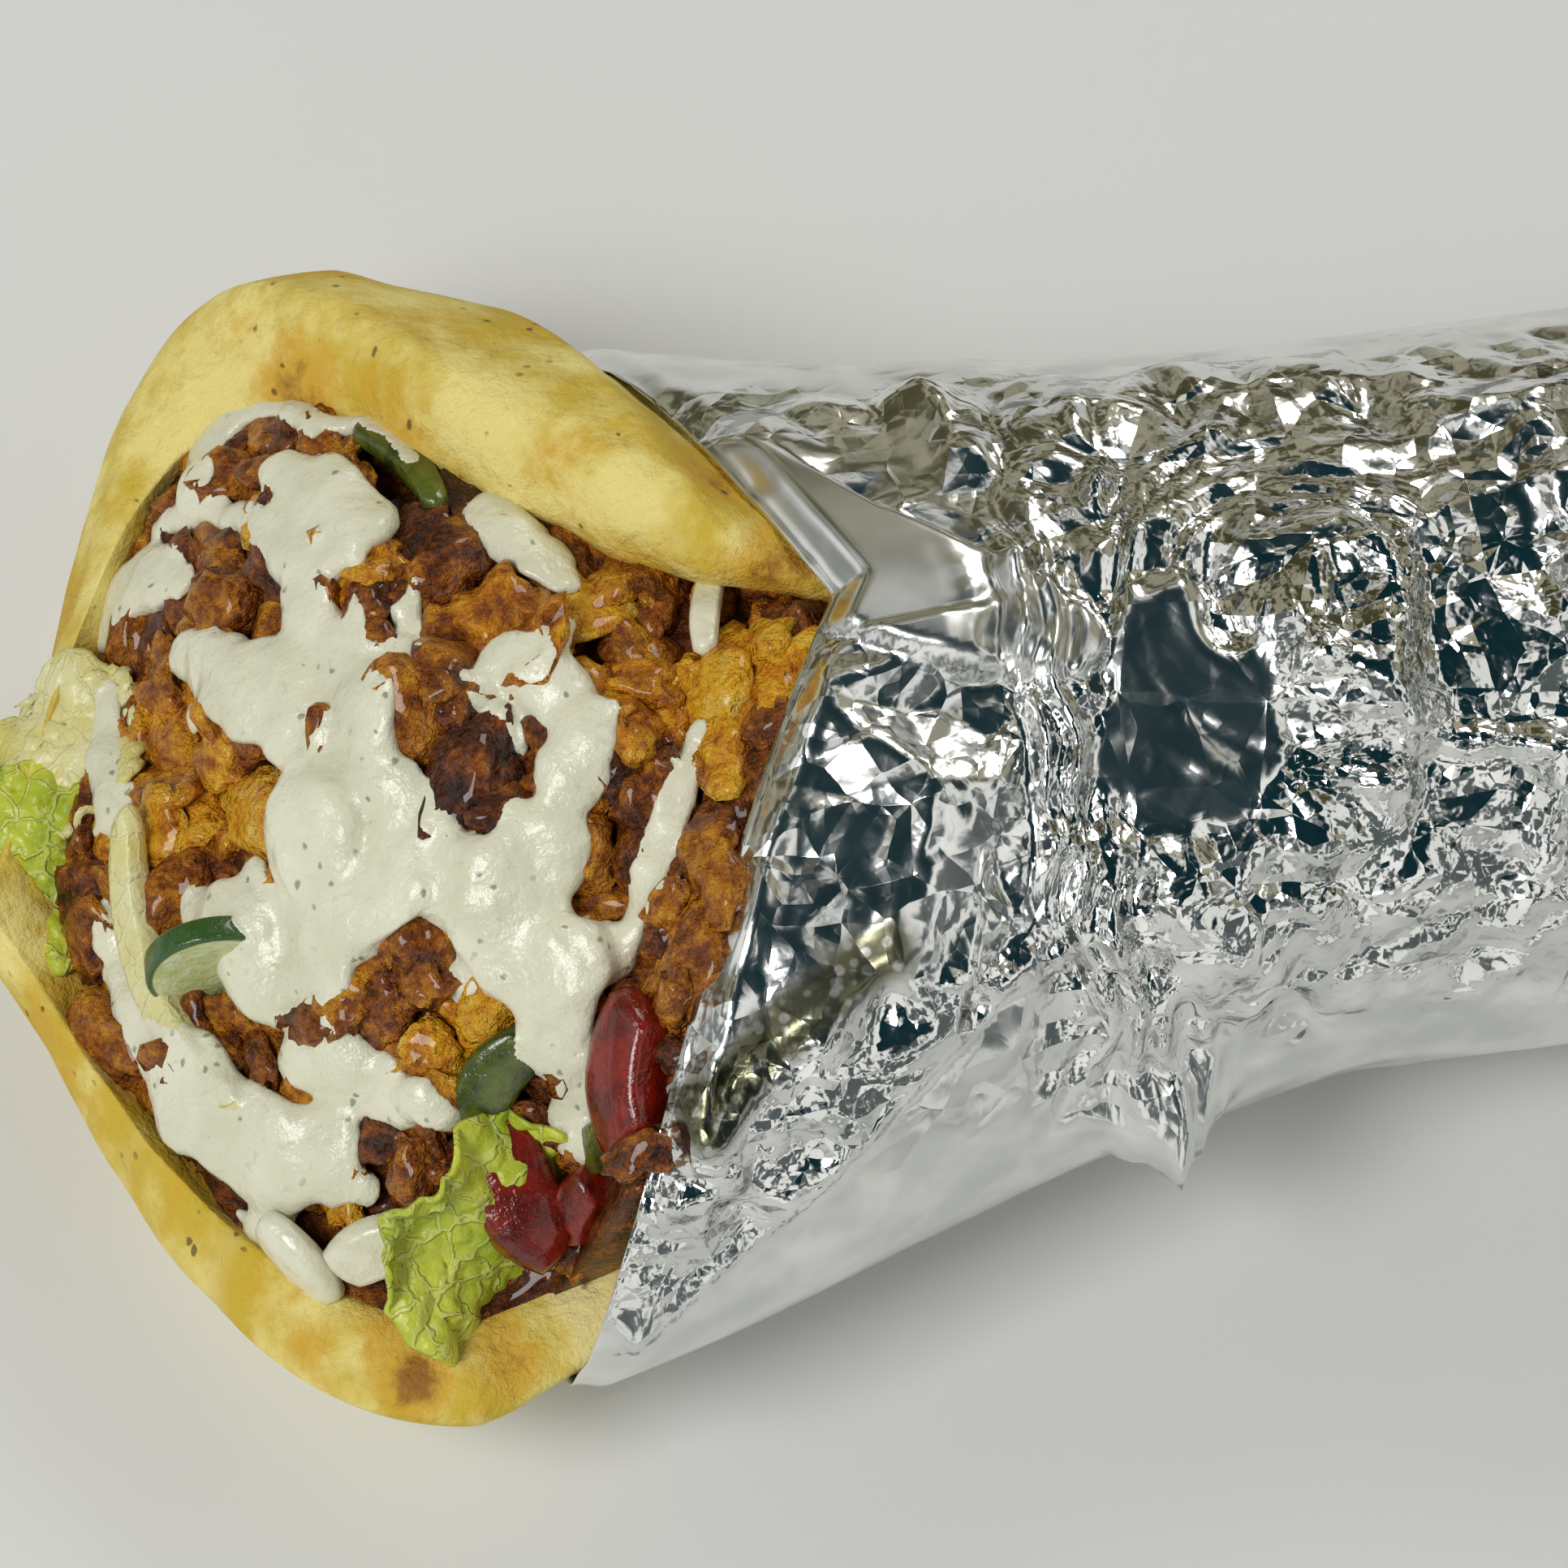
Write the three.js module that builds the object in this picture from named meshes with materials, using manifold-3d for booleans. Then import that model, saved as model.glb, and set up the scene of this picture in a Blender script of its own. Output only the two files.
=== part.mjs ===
// Gyro wrap: a thick flatbread rolled into a cone round meat, salad and white sauce, in crumpled foil.
// It lies on its back, mouth towards -X and tail towards +X. Millimetres, +Z up.
import * as THREE from 'three';
import { mergeVertices } from 'three/addons/utils/BufferGeometryUtils.js';
import Module from 'manifold-3d';

const wasm = await Module();
wasm.setup();

// ---------- driving dimensions ----------
// Stations run along the wrap from the mouth's widest place: the lip is at -MOUTH_LENGTH.
const MOUTH_LENGTH = 40;
const MOUTH_HALF_WIDTH = 60.5;
const TUBE_HALF_WIDTH = 36.5;
const TUBE_HALF_HEIGHT = 32.5;
const AXIS_HEIGHT = 31; // lower than the tube's half height, so the underside is a flat strip
const FLARE_END = 92; // where the flare from the mouth has become the straight tube
const TAIL_START = 125;
const TAIL_END = 175;
const LIP_RISE = 15; // the lip curls up off the surface like the end of a scoop

const FOIL_THICKNESS = 1;
const GAP = 0.5;
const BREAD_THICKNESS = 6.5;
const BREAD_END = 152;
const FILLING_END = 150;
const FILLING_SHARE = 0.94; // how far up the bread the heap reaches, the rim being 1
const HEAP_HEIGHT = 17; // how far the heap stands above a line from rim to rim
const HEAP_EDGE = 0.8;
const BANK = 10; // where the heap carries the foil, it slopes down from the foil's edge over this length

const FOIL_MOUTH_BACK = 8.6; // the foil's edge under the wrap
const FOIL_MOUTH_APEX = 43; // the deep point of its V, on top
const APEX_ANGLE = 172;

const BREAD_OUTSIDE = -FOIL_THICKNESS - GAP; // layers are given as offsets from the foil's outside
const FILLING_OUTSIDE = BREAD_OUTSIDE - BREAD_THICKNESS - 2.4 * GAP;
const FILLING_COVER = BREAD_OUTSIDE - GAP; // where only the foil covers the filling
const COVER_END = 80; // from here on the bread closes over it

// ---------- the wrap's form ----------
const radians = THREE.MathUtils.degToRad;
const smooth = (t) => THREE.MathUtils.smoothstep(t, 0, 1);
const between = THREE.MathUtils.lerp;

function tailScale(u) {
  const t = THREE.MathUtils.clamp((u - TAIL_START) / (TAIL_END - TAIL_START), 0, 1);
  return Math.sqrt(1 - t ** 2.4);
}

function halfWidth(u) {
  if (u < 0) return MOUTH_HALF_WIDTH * Math.sqrt(1 - (u / (MOUTH_LENGTH * 1.1)) ** 2);
  const flare = Math.max(0, 1 - u / FLARE_END) ** 1.5;
  return (TUBE_HALF_WIDTH + (MOUTH_HALF_WIDTH - TUBE_HALF_WIDTH) * flare) * tailScale(u);
}

// The wrap isn't quite straight: it swells to one side behind the mouth and to the other at the tail.
const sideways = (u) => 2.2 * smooth((u - 45) / 55) - 2.4 * Math.exp(-(((u - 26) / 24) ** 2));
const lipRise = (u) => (u < 0 ? LIP_RISE * (-u / MOUTH_LENGTH) ** 2.2 : 0);

// A point of the cross-section at station u. The angle runs from 0 below through +90 at +Y to 180 on top.
function section(u, angle, offset) {
  const halfHeight = TUBE_HALF_HEIGHT * tailScale(u) + offset;
  const y = sideways(u) + (halfWidth(u) + offset) * Math.sin(angle);
  const z = Math.max(AXIS_HEIGHT - halfHeight * Math.cos(angle), -Math.min(offset, 0));
  return new THREE.Vector3(u, y, z + lipRise(u));
}

// How far the bread comes round on the +Y side, where it folds over the heap, and on the -Y side.
function farLimit(u) {
  if (u < 0) return radians(134 + 1.8 * u);
  return radians(134 + 38 * (1 - (1 - Math.min(u, 50) / 50) ** 1.45));
}

function nearLimit(u) {
  return radians(-80 - 85 * smooth(u / 75) - 0.4 * Math.min(u, 0));
}

// The bread's outline, laid flat, is a D: a half disc at the lip and straight sides along the tube.
function ontoOutline(x, y) {
  if (x >= 0) return [x, y];
  return [x * Math.sqrt(1 - (y * y) / 2), y * Math.sqrt(1 - (x * x) / 2)];
}

const outlineWidth = (x, share) => (x < 0 ? Math.sqrt(Math.max(0, share ** 2 - x * x)) : share);
const rimAngle = (u, y) => y * (y > 0 ? farLimit(u) : -nearLimit(u));

// Where the foil's mouth edge lies at each angle round the wrap: a V whose deep point is on top.
function foilEdge(angle) {
  const degrees = THREE.MathUtils.radToDeg(angle);
  const turned = degrees < APEX_ANGLE ? degrees : degrees - 360;
  const t = turned >= 0 ? (turned - 20) / (APEX_ANGLE - 20) : (-turned - 70) / (290 - APEX_ANGLE);
  const depth = THREE.MathUtils.clamp(t, 0, 1) ** (turned >= 0 ? 1.7 : 1.6);
  return between(FOIL_MOUTH_BACK, FOIL_MOUTH_APEX, depth);
}

// ---------- shapes to solids ----------
function closed(geometry) {
  const bare = geometry.clone();
  bare.deleteAttribute('normal');
  bare.deleteAttribute('uv');
  const merged = mergeVertices(bare, 1e-4);
  const at = merged.getAttribute('position');
  const corner = (i) => new THREE.Vector3().fromBufferAttribute(at, merged.index.getX(i));
  const kept = [];
  let volume = 0;
  for (let i = 0; i < merged.index.count; i += 3) {
    const [a, b, c] = [0, 1, 2].map((k) => merged.index.getX(i + k));
    if (a === b || b === c || c === a) continue;
    kept.push(a, b, c);
    volume += corner(i).dot(corner(i + 1).cross(corner(i + 2)));
  }
  merged.setIndex(volume > 0 ? kept : kept.reverse());
  return merged;
}

function solid(geometry) {
  const merged = closed(geometry);
  return new wasm.Manifold(
    new wasm.Mesh({
      numProp: 3,
      vertProperties: new Float32Array(merged.getAttribute('position').array),
      triVerts: new Uint32Array(merged.index.array),
    }),
  );
}

function geometryOf(body) {
  const mesh = body.getMesh();
  const geometry = new THREE.BufferGeometry();
  geometry.setAttribute('position', new THREE.BufferAttribute(mesh.vertProperties, 3));
  geometry.setIndex([...mesh.triVerts]);
  return geometry;
}

// The bodies that a cut leaves, the largest first; edges finer than FINEST are merged away.
const FINEST = 0.06;
const bodiesOf = (cut) => cut.simplify(FINEST).decompose().sort((a, b) => b.volume() - a.volume());

function bent(geometry, place) {
  const at = geometry.getAttribute('position');
  for (let i = 0; i < at.count; i += 1) {
    const point = place(at.getX(i), at.getY(i), at.getZ(i));
    at.setXYZ(i, point.x, point.y, point.z);
  }
  return geometry;
}

// A slab from -1 to 1 each way, whose grid is then bent: x along the wrap, y across, z through the layer.
const slab = (rows, columns, place) => bent(new THREE.BoxGeometry(2, 2, 2, rows, columns, 1), place);

// ---------- the bread ----------
const BREAD_ROWS = 17;
const BREAD_COLUMNS = 22;
const LIP_ROWS_SHARE = 0.4; // the share of the grid's rows that lie in front of the widest place

function breadStation(x, end) {
  const row = (x + 1) / 2;
  if (row < LIP_ROWS_SHARE) return row / LIP_ROWS_SHARE - 1;
  return ((row - LIP_ROWS_SHARE) / (1 - LIP_ROWS_SHARE)) * (end / MOUTH_LENGTH);
}

function breadPoint(x, y, z, grow = 0) {
  const along = breadStation(x, BREAD_END);
  const across = between(y, Math.sin((y * Math.PI) / 2), 0.6); // closer grid lines towards the rim
  const [outX, outY] = ontoOutline(along, across);
  const u = outX * MOUTH_LENGTH + (outX < 0 ? grow * outX : 0);
  const rimGrowth = 1 + grow / MOUTH_LENGTH;
  const fromRim = 1 - Math.max(Math.abs(across), -along);
  const rounding = Math.sqrt(1 - (1 - Math.min(1, fromRim / 0.06)) ** 2);
  const half = (BREAD_THICKNESS / 2) * (0.45 + 0.55 * rounding) + grow;
  return section(u, rimAngle(u, outY) * rimGrowth, BREAD_OUTSIDE - BREAD_THICKNESS / 2 - z * half);
}

// ---------- the heap of filling ----------
const heapBulge = (u) => HEAP_HEIGHT * Math.exp(-(((u - 6) / 38) ** 2));
const unevenness = (u, y) =>
  0.9 * Math.sin(u * 0.41 + y * 0.13) +
  0.8 * Math.sin(y * 0.37 - u * 0.19 + 1.3) +
  0.5 * Math.sin(u * 0.83 + 2.1);

// Between the bread's two sides the foil lies on the heap: how high a point on its underside is, and
// how fully it covers the heap there, from 0 well in front of the foil's edge to 1 behind it.
function coverAt(u, y) {
  const across = (y - sideways(u)) / (halfWidth(u) + FILLING_COVER);
  const angle = -Math.PI - Math.asin(THREE.MathUtils.clamp(across, -1, 1));
  const covered = smooth((u - foilEdge(angle)) / BANK + 1) * smooth((COVER_END - u) / BANK);
  return { height: section(u, angle, FILLING_COVER).z, covered };
}

// A point of the heap's top at station u; w runs from -1 at the near rim to 1 at the far one.
function heapTop(u, w) {
  const width = outlineWidth(u / MOUTH_LENGTH, FILLING_SHARE);
  const near = section(u, nearLimit(u) * width, FILLING_OUTSIDE);
  const far = section(u, farLimit(u) * width, FILLING_OUTSIDE);
  const point = near.lerp(far, (w + 1) / 2);
  const inside = 1 - w * w;
  const bumps = unevenness(u, point.y) * inside * smooth((70 - u) / 30);
  point.z += HEAP_EDGE + (heapBulge(u) * width * inside) / FILLING_SHARE + bumps;
  const { height, covered } = coverAt(u, point.y);
  point.z += Math.max(0, height - point.z) * covered * smooth((0.8 - w) / 0.4);
  return point;
}

const HEAP_ROWS = 20;
const HEAP_COLUMNS = 16;
const FINE_ROWS_SHARE = 0.72; // the share of the heap's rows that the open mouth takes
const FINE_END = 50;

function heapStation(x, end) {
  const row = (x + 1) / 2;
  const mouth = FINE_END / MOUTH_LENGTH + 1;
  if (row < FINE_ROWS_SHARE) return (row / FINE_ROWS_SHARE) * mouth - 1;
  return between(FINE_END, end, (row - FINE_ROWS_SHARE) / (1 - FINE_ROWS_SHARE)) / MOUTH_LENGTH;
}

// The heap from the bread to its top, with a layer over that, whose depth `above` gives.
function heapPoint(x, y, z, above) {
  const station = heapStation(x, FILLING_END);
  const [outX, outY] = ontoOutline(station, y).map((value) => value * FILLING_SHARE);
  const along = station > 0 ? station : outX;
  const u = along * MOUTH_LENGTH;
  if (z < 0) return section(u, rimAngle(u, outY), FILLING_OUTSIDE);
  const w = outY / Math.max(1e-6, outlineWidth(along, FILLING_SHARE));
  const top = heapTop(u, THREE.MathUtils.clamp(w, -1, 1));
  top.z += above(top);
  return top;
}

const heap = (above) => solid(slab(HEAP_ROWS, HEAP_COLUMNS, (x, y, z) => heapPoint(x, y, z, above)));

// ---------- the foil ----------
const FOIL_SIDES = 42;
const FOIL_STATIONS = 12;

const ridge = (t) => Math.abs(2 * (t - Math.floor(t + 0.5)));

// The foil is crumpled: flat facets between creases, standing up to CRUMPLE off the bread.
const CRUMPLE = 1.5;
const CALM_EDGE = 6; // the mouth edge is smooth for this far back
function crumple(u, angle) {
  const round = angle * TUBE_HALF_WIDTH;
  const creases = ridge(u / 23 + round / 41) + ridge(round / 29 - u / 47 + 0.3) + ridge(u / 13 - round / 67);
  return (CRUMPLE * creases) / 3;
}

// Turned shape: radius 2 stands for the foil's outside, 1 for its inside, 0 for the tail's middle.
function foilPoint(x, height, z) {
  const radius = Math.hypot(x, z);
  const outside = radius > 1.5 || height === 1;
  const end = TAIL_END - (outside ? 0 : 2 * FOIL_THICKNESS);
  if (radius < 0.5) return new THREE.Vector3(end, sideways(end), AXIS_HEIGHT);
  const angle = Math.atan2(z, x);
  const edge = foilEdge(angle);
  const u = between(edge, end, height ** 0.9);
  const calm = smooth((u - edge) / CALM_EDGE);
  return section(u, angle, outside ? crumple(u, angle) * calm : -FOIL_THICKNESS);
}

// The profile runs from the tail's middle along the inside to the mouth, and back along the outside.
function foilProfile() {
  const lastRing = 0.99; // just short of the tail's middle
  const quarter = Math.PI / 2;
  const rings = Array.from({ length: FOIL_STATIONS + 1 }, (_, i) => i / FOIL_STATIONS);
  const heights = rings.map((t) => Math.sin(t * quarter) * lastRing); // closer together at the tail
  const outside = heights.map((height) => new THREE.Vector2(2, height));
  const inside = heights.map((height) => new THREE.Vector2(1, height));
  return [new THREE.Vector2(0, 0.999), ...inside.reverse(), ...outside, new THREE.Vector2(0, 1)];
}

// The folds stand on the foil's wall and reach into it, so that they are one sheet with it.
// Each is a patch between two edges, given as [station, degrees] at both ends.
const FOLD_ROOT = -FOIL_THICKNESS / 2;
const FOLDS = [
  // the sheet's corner, turned back over the near side
  { height: 1, from: [[43, -186], [13, -88]], to: [[60, -176], [57, -130]] },
  // the rolled edge behind the bread
  { height: 1.7, from: [[35, 147], [68, 174]], to: [[35, 153], [68, 180]] },
];

function fold({ height, from, to }) {
  return slab(5, 5, (x, y, z) => {
    const [s, t] = [(x + 1) / 2, (y + 1) / 2];
    const mixed = (k) => between(between(from[0][k], from[1][k], t), between(to[0][k], to[1][k], t), s);
    const [u, angle] = [mixed(0), radians(mixed(1))];
    return section(u, angle, z < 0 ? FOLD_ROOT : crumple(u, angle) + height);
  });
}

// Where the sheet is gathered it ends in a small point that stands off the near side.
function gatheredPoint() {
  const root = section(70, radians(-84), -FOIL_THICKNESS / 2);
  const tip = new THREE.ConeGeometry(2.6, 8, 8).rotateX(Math.PI);
  return tip.translate(root.x, root.y - 3.8, root.z);
}

// ---------- what lies in the heap ----------
// A piece is built round its own middle, `grow` larger all round for the pocket that it sits in.
function leaf(length, width, thickness, ruffle) {
  return (grow) =>
    bent(new THREE.BoxGeometry(2, 2, 2, 7, 5, 1), (x, y, z) => {
      const [outX, outY] = [x * Math.sqrt(1 - (y * y) / 2.6), y * Math.sqrt(1 - (x * x) / 2.6)];
      const wave = Math.sin(outX * 5.1 + outY * 1.7) + 0.7 * Math.sin(outY * 6.3 - outX * 2.2 + 1);
      const height = ruffle * wave * (0.35 + 0.65 * (outX * outX + outY * outY));
      return new THREE.Vector3(
        outX * (length / 2 + grow),
        outY * (width / 2 + grow),
        height + z * (thickness / 2 + grow * 2), // twice, because the ruffles are steep
      );
    });
}

// A strip or wedge: an arc of a ring, with a width across and a height that narrows towards its tips.
function arcPiece(radius, sweep, width, height, point = 0.5) {
  return (grow) =>
    bent(new THREE.BoxGeometry(2, 2, 2, 6, 2, 2), (x, y, z) => {
      const taper = Math.sqrt(1 - point * x * x);
      const round = Math.SQRT1_2 + (1 - Math.SQRT1_2) * (1 - Math.max(y * y, z * z));
      const angle = (x * (sweep / 2 + grow)) / radius;
      const from = radius + y * (width / 2) * taper * round + y * grow;
      return new THREE.Vector3(
        from * Math.sin(angle),
        from * Math.cos(angle) - radius,
        z * ((height / 2) * taper * round + grow),
      );
    });
}

function disc(radius, height) {
  return (grow) => new THREE.CylinderGeometry(radius + grow, radius * 0.96 + grow, height + 2 * grow, 18, 1);
}

// Where each piece lies: its station, its place across the heap, how high its middle stands over the
// top, and its turns about the wrap's axis, the cross axis and the upright one, in degrees.
const GREEN_LEAF = { color: 0xb9c62e, roughness: 0.45, metalness: 0 };
const PALE_LEAF = { color: 0xe2dc9a, roughness: 0.45, metalness: 0 };
const TOMATO = { color: 0xa81408, roughness: 0.3, metalness: 0 };
const ONION = { color: 0xe8e6c8, roughness: 0.4, metalness: 0 };
const PEPPER = { color: 0x4d5a10, roughness: 0.35, metalness: 0 };

const CUCUMBER = { color: 0xc4cc7a, roughness: 0.3, metalness: 0 };

const PIECES = [
  ['tomato_wedge', arcPiece(11, 15, 9, 7), 6, -0.79, 0.6, [15, 10, 100], TOMATO],
  ['tomato_chunk', arcPiece(12, 15, 8, 7, 0.4), 18.5, -0.68, 0.2, [20, -10, 60], TOMATO],
  ['tomato_dice', arcPiece(9, 8, 5, 4.5, 0.3), 12.5, -0.87, 0.4, [30, 0, 20], TOMATO],
  ['lettuce_front', leaf(19, 20, 0.9, 1.5), 2.5, -0.88, 0.6, [30, 10, 20], GREEN_LEAF],
  ['lettuce_lip', leaf(17, 19, 0.9, 1.6), -35.5, 0.55, 2.6, [5, -28, 15], GREEN_LEAF],
  ['iceberg_leaf', leaf(17, 18, 1, 1.1), -31, 0.72, 1.8, [15, -25, 70], PALE_LEAF],
  ['iceberg_rib', arcPiece(26, 36, 4.2, 3.6, 0.6), -25.5, -0.42, 1, [5, -8, 112], PALE_LEAF],
  ['cucumber_slice', disc(7, 2.6), -19.5, -0.36, 0.6, [65, 20, 20], CUCUMBER],
  ['pepper_piece', arcPiece(10, 11, 6, 2.6, 0.4), 5.5, -0.58, 0.9, [10, 0, 40], PEPPER],
  ['pepper_slice', arcPiece(12, 10, 5, 2.4, 0.4), 15.5, -0.8, 0.5, [20, 0, -20], PEPPER],
  ['pepper_strip', arcPiece(20, 16, 3.4, 2.4), 5, 0.88, 1, [-10, 0, -20], PEPPER],
  ['onion_piece', arcPiece(12, 10.5, 6, 3), -14.5, -0.93, 1.2, [30, 10, -30], ONION],
  ['onion_chunk', arcPiece(10, 10, 6.5, 3.4), -7, -0.86, 0.9, [20, 10, 30], ONION],
  ['onion_strip', arcPiece(30, 12, 3, 2), 31, 0.7, 1, [-15, 0, 95], ONION],
];

function seated(shape, u, w, lift, turns) {
  const middle = heapTop(u, w);
  const along = heapTop(u + 1, w).sub(heapTop(u - 1, w)).normalize();
  const across = heapTop(u, Math.min(1, w + 0.02)).sub(heapTop(u, w - 0.02)).normalize();
  const up = along.clone().cross(across).normalize();
  const slope = new THREE.Matrix4().makeBasis(along, up.clone().cross(along), up);
  const turned = new THREE.Matrix4().makeRotationFromEuler(new THREE.Euler(...turns.map(radians), 'ZYX'));
  const matrix = slope.multiply(turned).setPosition(middle.addScaledVector(up, lift));
  return (grow) => solid(shape(grow).applyMatrix4(matrix));
}

// ---------- the white sauce ----------
// Ribbons along (station, place across) points, each with its half width; their thickness is a cap.
const SAUCE = { color: 0xe6e4cc, roughness: 0.3, metalness: 0 };
const SAUCE_THICKNESS = 0.42; // of a ribbon's half width
const RIBBONS = [
  { half: 4.6, way: [[-16, 0.68], [-14, 0.86], [-8, 0.9], [-4, 0.78]] },
  { half: 6.3, way: [[-13, 0.72], [-8, 0.62], [-2, 0.5]] },
  { half: 5.9, way: [[-27, 0.82], [-22, 0.6], [-16, 0.42]] },
  { half: 8, way: [[-16, 0.4], [-9, 0.15], [-7, -0.1], [-6, -0.25]] },
  { half: 5, way: [[15, 0.86], [19, 0.68]] },
  { half: 4.2, way: [[8, 0.12], [12, 0.38], [17, 0.3], [17, 0.1], [13, -0.08], [10, -0.25]] },
  { half: 6.3, way: [[6, -0.2], [12, -0.28], [17.5, -0.37]] },
  { half: 4.2, way: [[13, -0.4], [12.5, -0.55], [12.5, -0.7]] },
  { half: 3.8, way: [[29, 0.24], [26.5, 0.04], [24, -0.14], [22, -0.32]] },
  { half: 6.7, way: [[-8, -0.2], [-17, -0.28], [-19, -0.44]] },
  { half: 5.9, way: [[-24, -0.64], [-17, -0.76], [-8, -0.6], [-3, -0.52]] },
  { half: 4.2, way: [[-6, -0.25], [0, -0.2], [6, -0.2]] },
  { half: 4.2, way: [[-19, -0.4], [-22, -0.55], [-23, -0.64]] },
];

const ribbonLines = RIBBONS.map(({ half, way }) => {
  const points = way.map(([u, w]) => heapTop(u, w));
  return { half, pieces: points.slice(1).map((to, i) => new THREE.Line3(points[i], to)) };
});

function sauceDepth(point) {
  let depth = 0;
  const nearest = new THREE.Vector3();
  for (const { half, pieces } of ribbonLines) {
    for (const piece of pieces) {
      const away = piece.closestPointToPoint(point, true, nearest).distanceTo(point) / half;
      if (away < 1) depth = Math.max(depth, half * SAUCE_THICKNESS * Math.sqrt(1 - away * away));
    }
  }
  return depth;
}

// ---------- build ----------
const wrap = new THREE.Group();
function add(name, geometry, look) {
  const mesh = new THREE.Mesh(geometry, new THREE.MeshStandardMaterial(look));
  mesh.name = name;
  wrap.add(mesh);
  return mesh;
}

const bread = slab(BREAD_ROWS, BREAD_COLUMNS, (x, y, z) => breadPoint(x, y, z));
add('bread', closed(bread), { color: 0xe8d58a, roughness: 0.8, metalness: 0 });

const wall = solid(bent(new THREE.LatheGeometry(foilProfile(), FOIL_SIDES), foilPoint));
const foil = [...FOLDS.map(fold), gatheredPoint()].reduce((sheet, extra) => sheet.add(solid(extra)), wall);
add('foil', geometryOf(bodiesOf(foil)[0]), { color: 0xc8ccca, roughness: 0.25, metalness: 1 });

const breadGrown = solid(slab(BREAD_ROWS, BREAD_COLUMNS, (x, y, z) => breadPoint(x, y, z, GAP)));
let filling = heap(() => 0).subtract(breadGrown);
let sauce = heap(sauceDepth).subtract(heap(() => GAP)).subtract(breadGrown);

const laid = [];
for (const [name, shape, u, w, lift, turns, look] of PIECES) {
  const build = seated(shape, u, w, lift, turns);
  let piece = build(0).subtract(breadGrown);
  for (const other of laid) piece = piece.subtract(other);
  const pocket = build(GAP);
  laid.push(pocket);
  filling = filling.subtract(pocket);
  sauce = sauce.subtract(pocket);
  add(name, geometryOf(bodiesOf(piece)[0]), look);
}

add('filling', geometryOf(bodiesOf(filling)[0]), { color: 0x7a3d0c, roughness: 0.4, metalness: 0 });

const SMALLEST_DOLLOP = 60; // cubic millimetres
bodiesOf(sauce)
  .filter((dollop) => dollop.volume() > SMALLEST_DOLLOP)
  .forEach((dollop, i) => add(i ? `sauce_dollop_${i}` : 'sauce', geometryOf(dollop), SAUCE));

// The origin is under the middle of the whole wrap.
const bounds = new THREE.Box3().setFromObject(wrap);
const middle = bounds.getCenter(new THREE.Vector3());
wrap.position.set(-middle.x, -middle.y, -bounds.min.z);

export default wrap;
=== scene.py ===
# %% [markdown]
# # A gyro wrap with a foil end
# A gyro is a soft flatbread rolled into a cone round roast meat, salad and a thick white sauce, with its
# closed end in kitchen foil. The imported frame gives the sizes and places, and this script makes the looks:
# baked skin, glossy meat, wet sauce and crumpled foil.

# %% Load the frame
import math
import random

import bmesh
import bpy
from mathutils import Euler, Matrix, Vector, noise
from mathutils.bvhtree import BVHTree


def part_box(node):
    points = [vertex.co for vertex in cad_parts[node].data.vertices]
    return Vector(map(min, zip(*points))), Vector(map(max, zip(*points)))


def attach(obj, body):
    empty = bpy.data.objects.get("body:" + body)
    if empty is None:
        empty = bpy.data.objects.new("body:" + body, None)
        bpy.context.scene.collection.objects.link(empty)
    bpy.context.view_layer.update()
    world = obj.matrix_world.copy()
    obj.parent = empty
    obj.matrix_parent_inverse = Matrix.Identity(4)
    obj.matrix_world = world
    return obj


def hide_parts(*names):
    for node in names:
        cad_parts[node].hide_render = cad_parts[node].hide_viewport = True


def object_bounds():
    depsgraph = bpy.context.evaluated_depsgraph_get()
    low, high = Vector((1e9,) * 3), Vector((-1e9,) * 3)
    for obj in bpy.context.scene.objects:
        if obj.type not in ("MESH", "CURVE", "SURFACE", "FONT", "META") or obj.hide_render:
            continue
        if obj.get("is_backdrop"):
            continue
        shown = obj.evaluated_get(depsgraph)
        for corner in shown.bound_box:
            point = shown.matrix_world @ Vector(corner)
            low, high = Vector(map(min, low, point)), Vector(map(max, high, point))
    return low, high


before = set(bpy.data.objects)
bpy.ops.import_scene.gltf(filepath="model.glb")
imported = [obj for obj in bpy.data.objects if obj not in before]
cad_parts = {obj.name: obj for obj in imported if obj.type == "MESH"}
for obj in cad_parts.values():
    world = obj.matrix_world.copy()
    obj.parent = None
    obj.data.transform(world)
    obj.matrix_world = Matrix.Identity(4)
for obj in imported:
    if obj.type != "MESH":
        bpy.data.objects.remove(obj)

cad_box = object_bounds()
print("CAD box, mm:", [round(value * 1000, 1) for corner in cad_box for value in corner])

# %% [markdown]
# ## Small helpers
# Everything is modelled in millimetres along the wrap and turned into metres when a piece is finished.
# `smooth` makes every soft border below.

# %% Helpers
MM = 0.001


def clamp(t, low=0.0, high=1.0):
    return min(max(t, low), high)


def smooth(t):
    t = clamp(t)
    return t * t * (3 - 2 * t)


def mix(a, b, t):
    return a + (b - a) * t


def soft_noise(point, size, seed=0.0):
    """Soft noise from about -1 to 1 whose lumps are `size` millimetres across."""
    return noise.noise(point / size + Vector((seed, seed * 0.7, -seed)))


def drift(point, size, seed=0.0):
    """A soft shift in all three directions, each from about -1 to 1."""
    return Vector([soft_noise(point, size, seed + 31.7 * axis) for axis in range(3)])


# %% [markdown]
# ## The form of the wrap
# Bread, heap and foil share one form: a row of oval sections along the wrap. Station 0 is the mouth's widest
# place, the lip is at -40, and behind the mouth the flare narrows to a tube that closes at station 175.
# Angles go round a section from 0 below through 90 on the far side to 180 on top. Curve modifiers could bend
# the pieces as well, but with one formula each layer lies exactly on the next.

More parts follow.
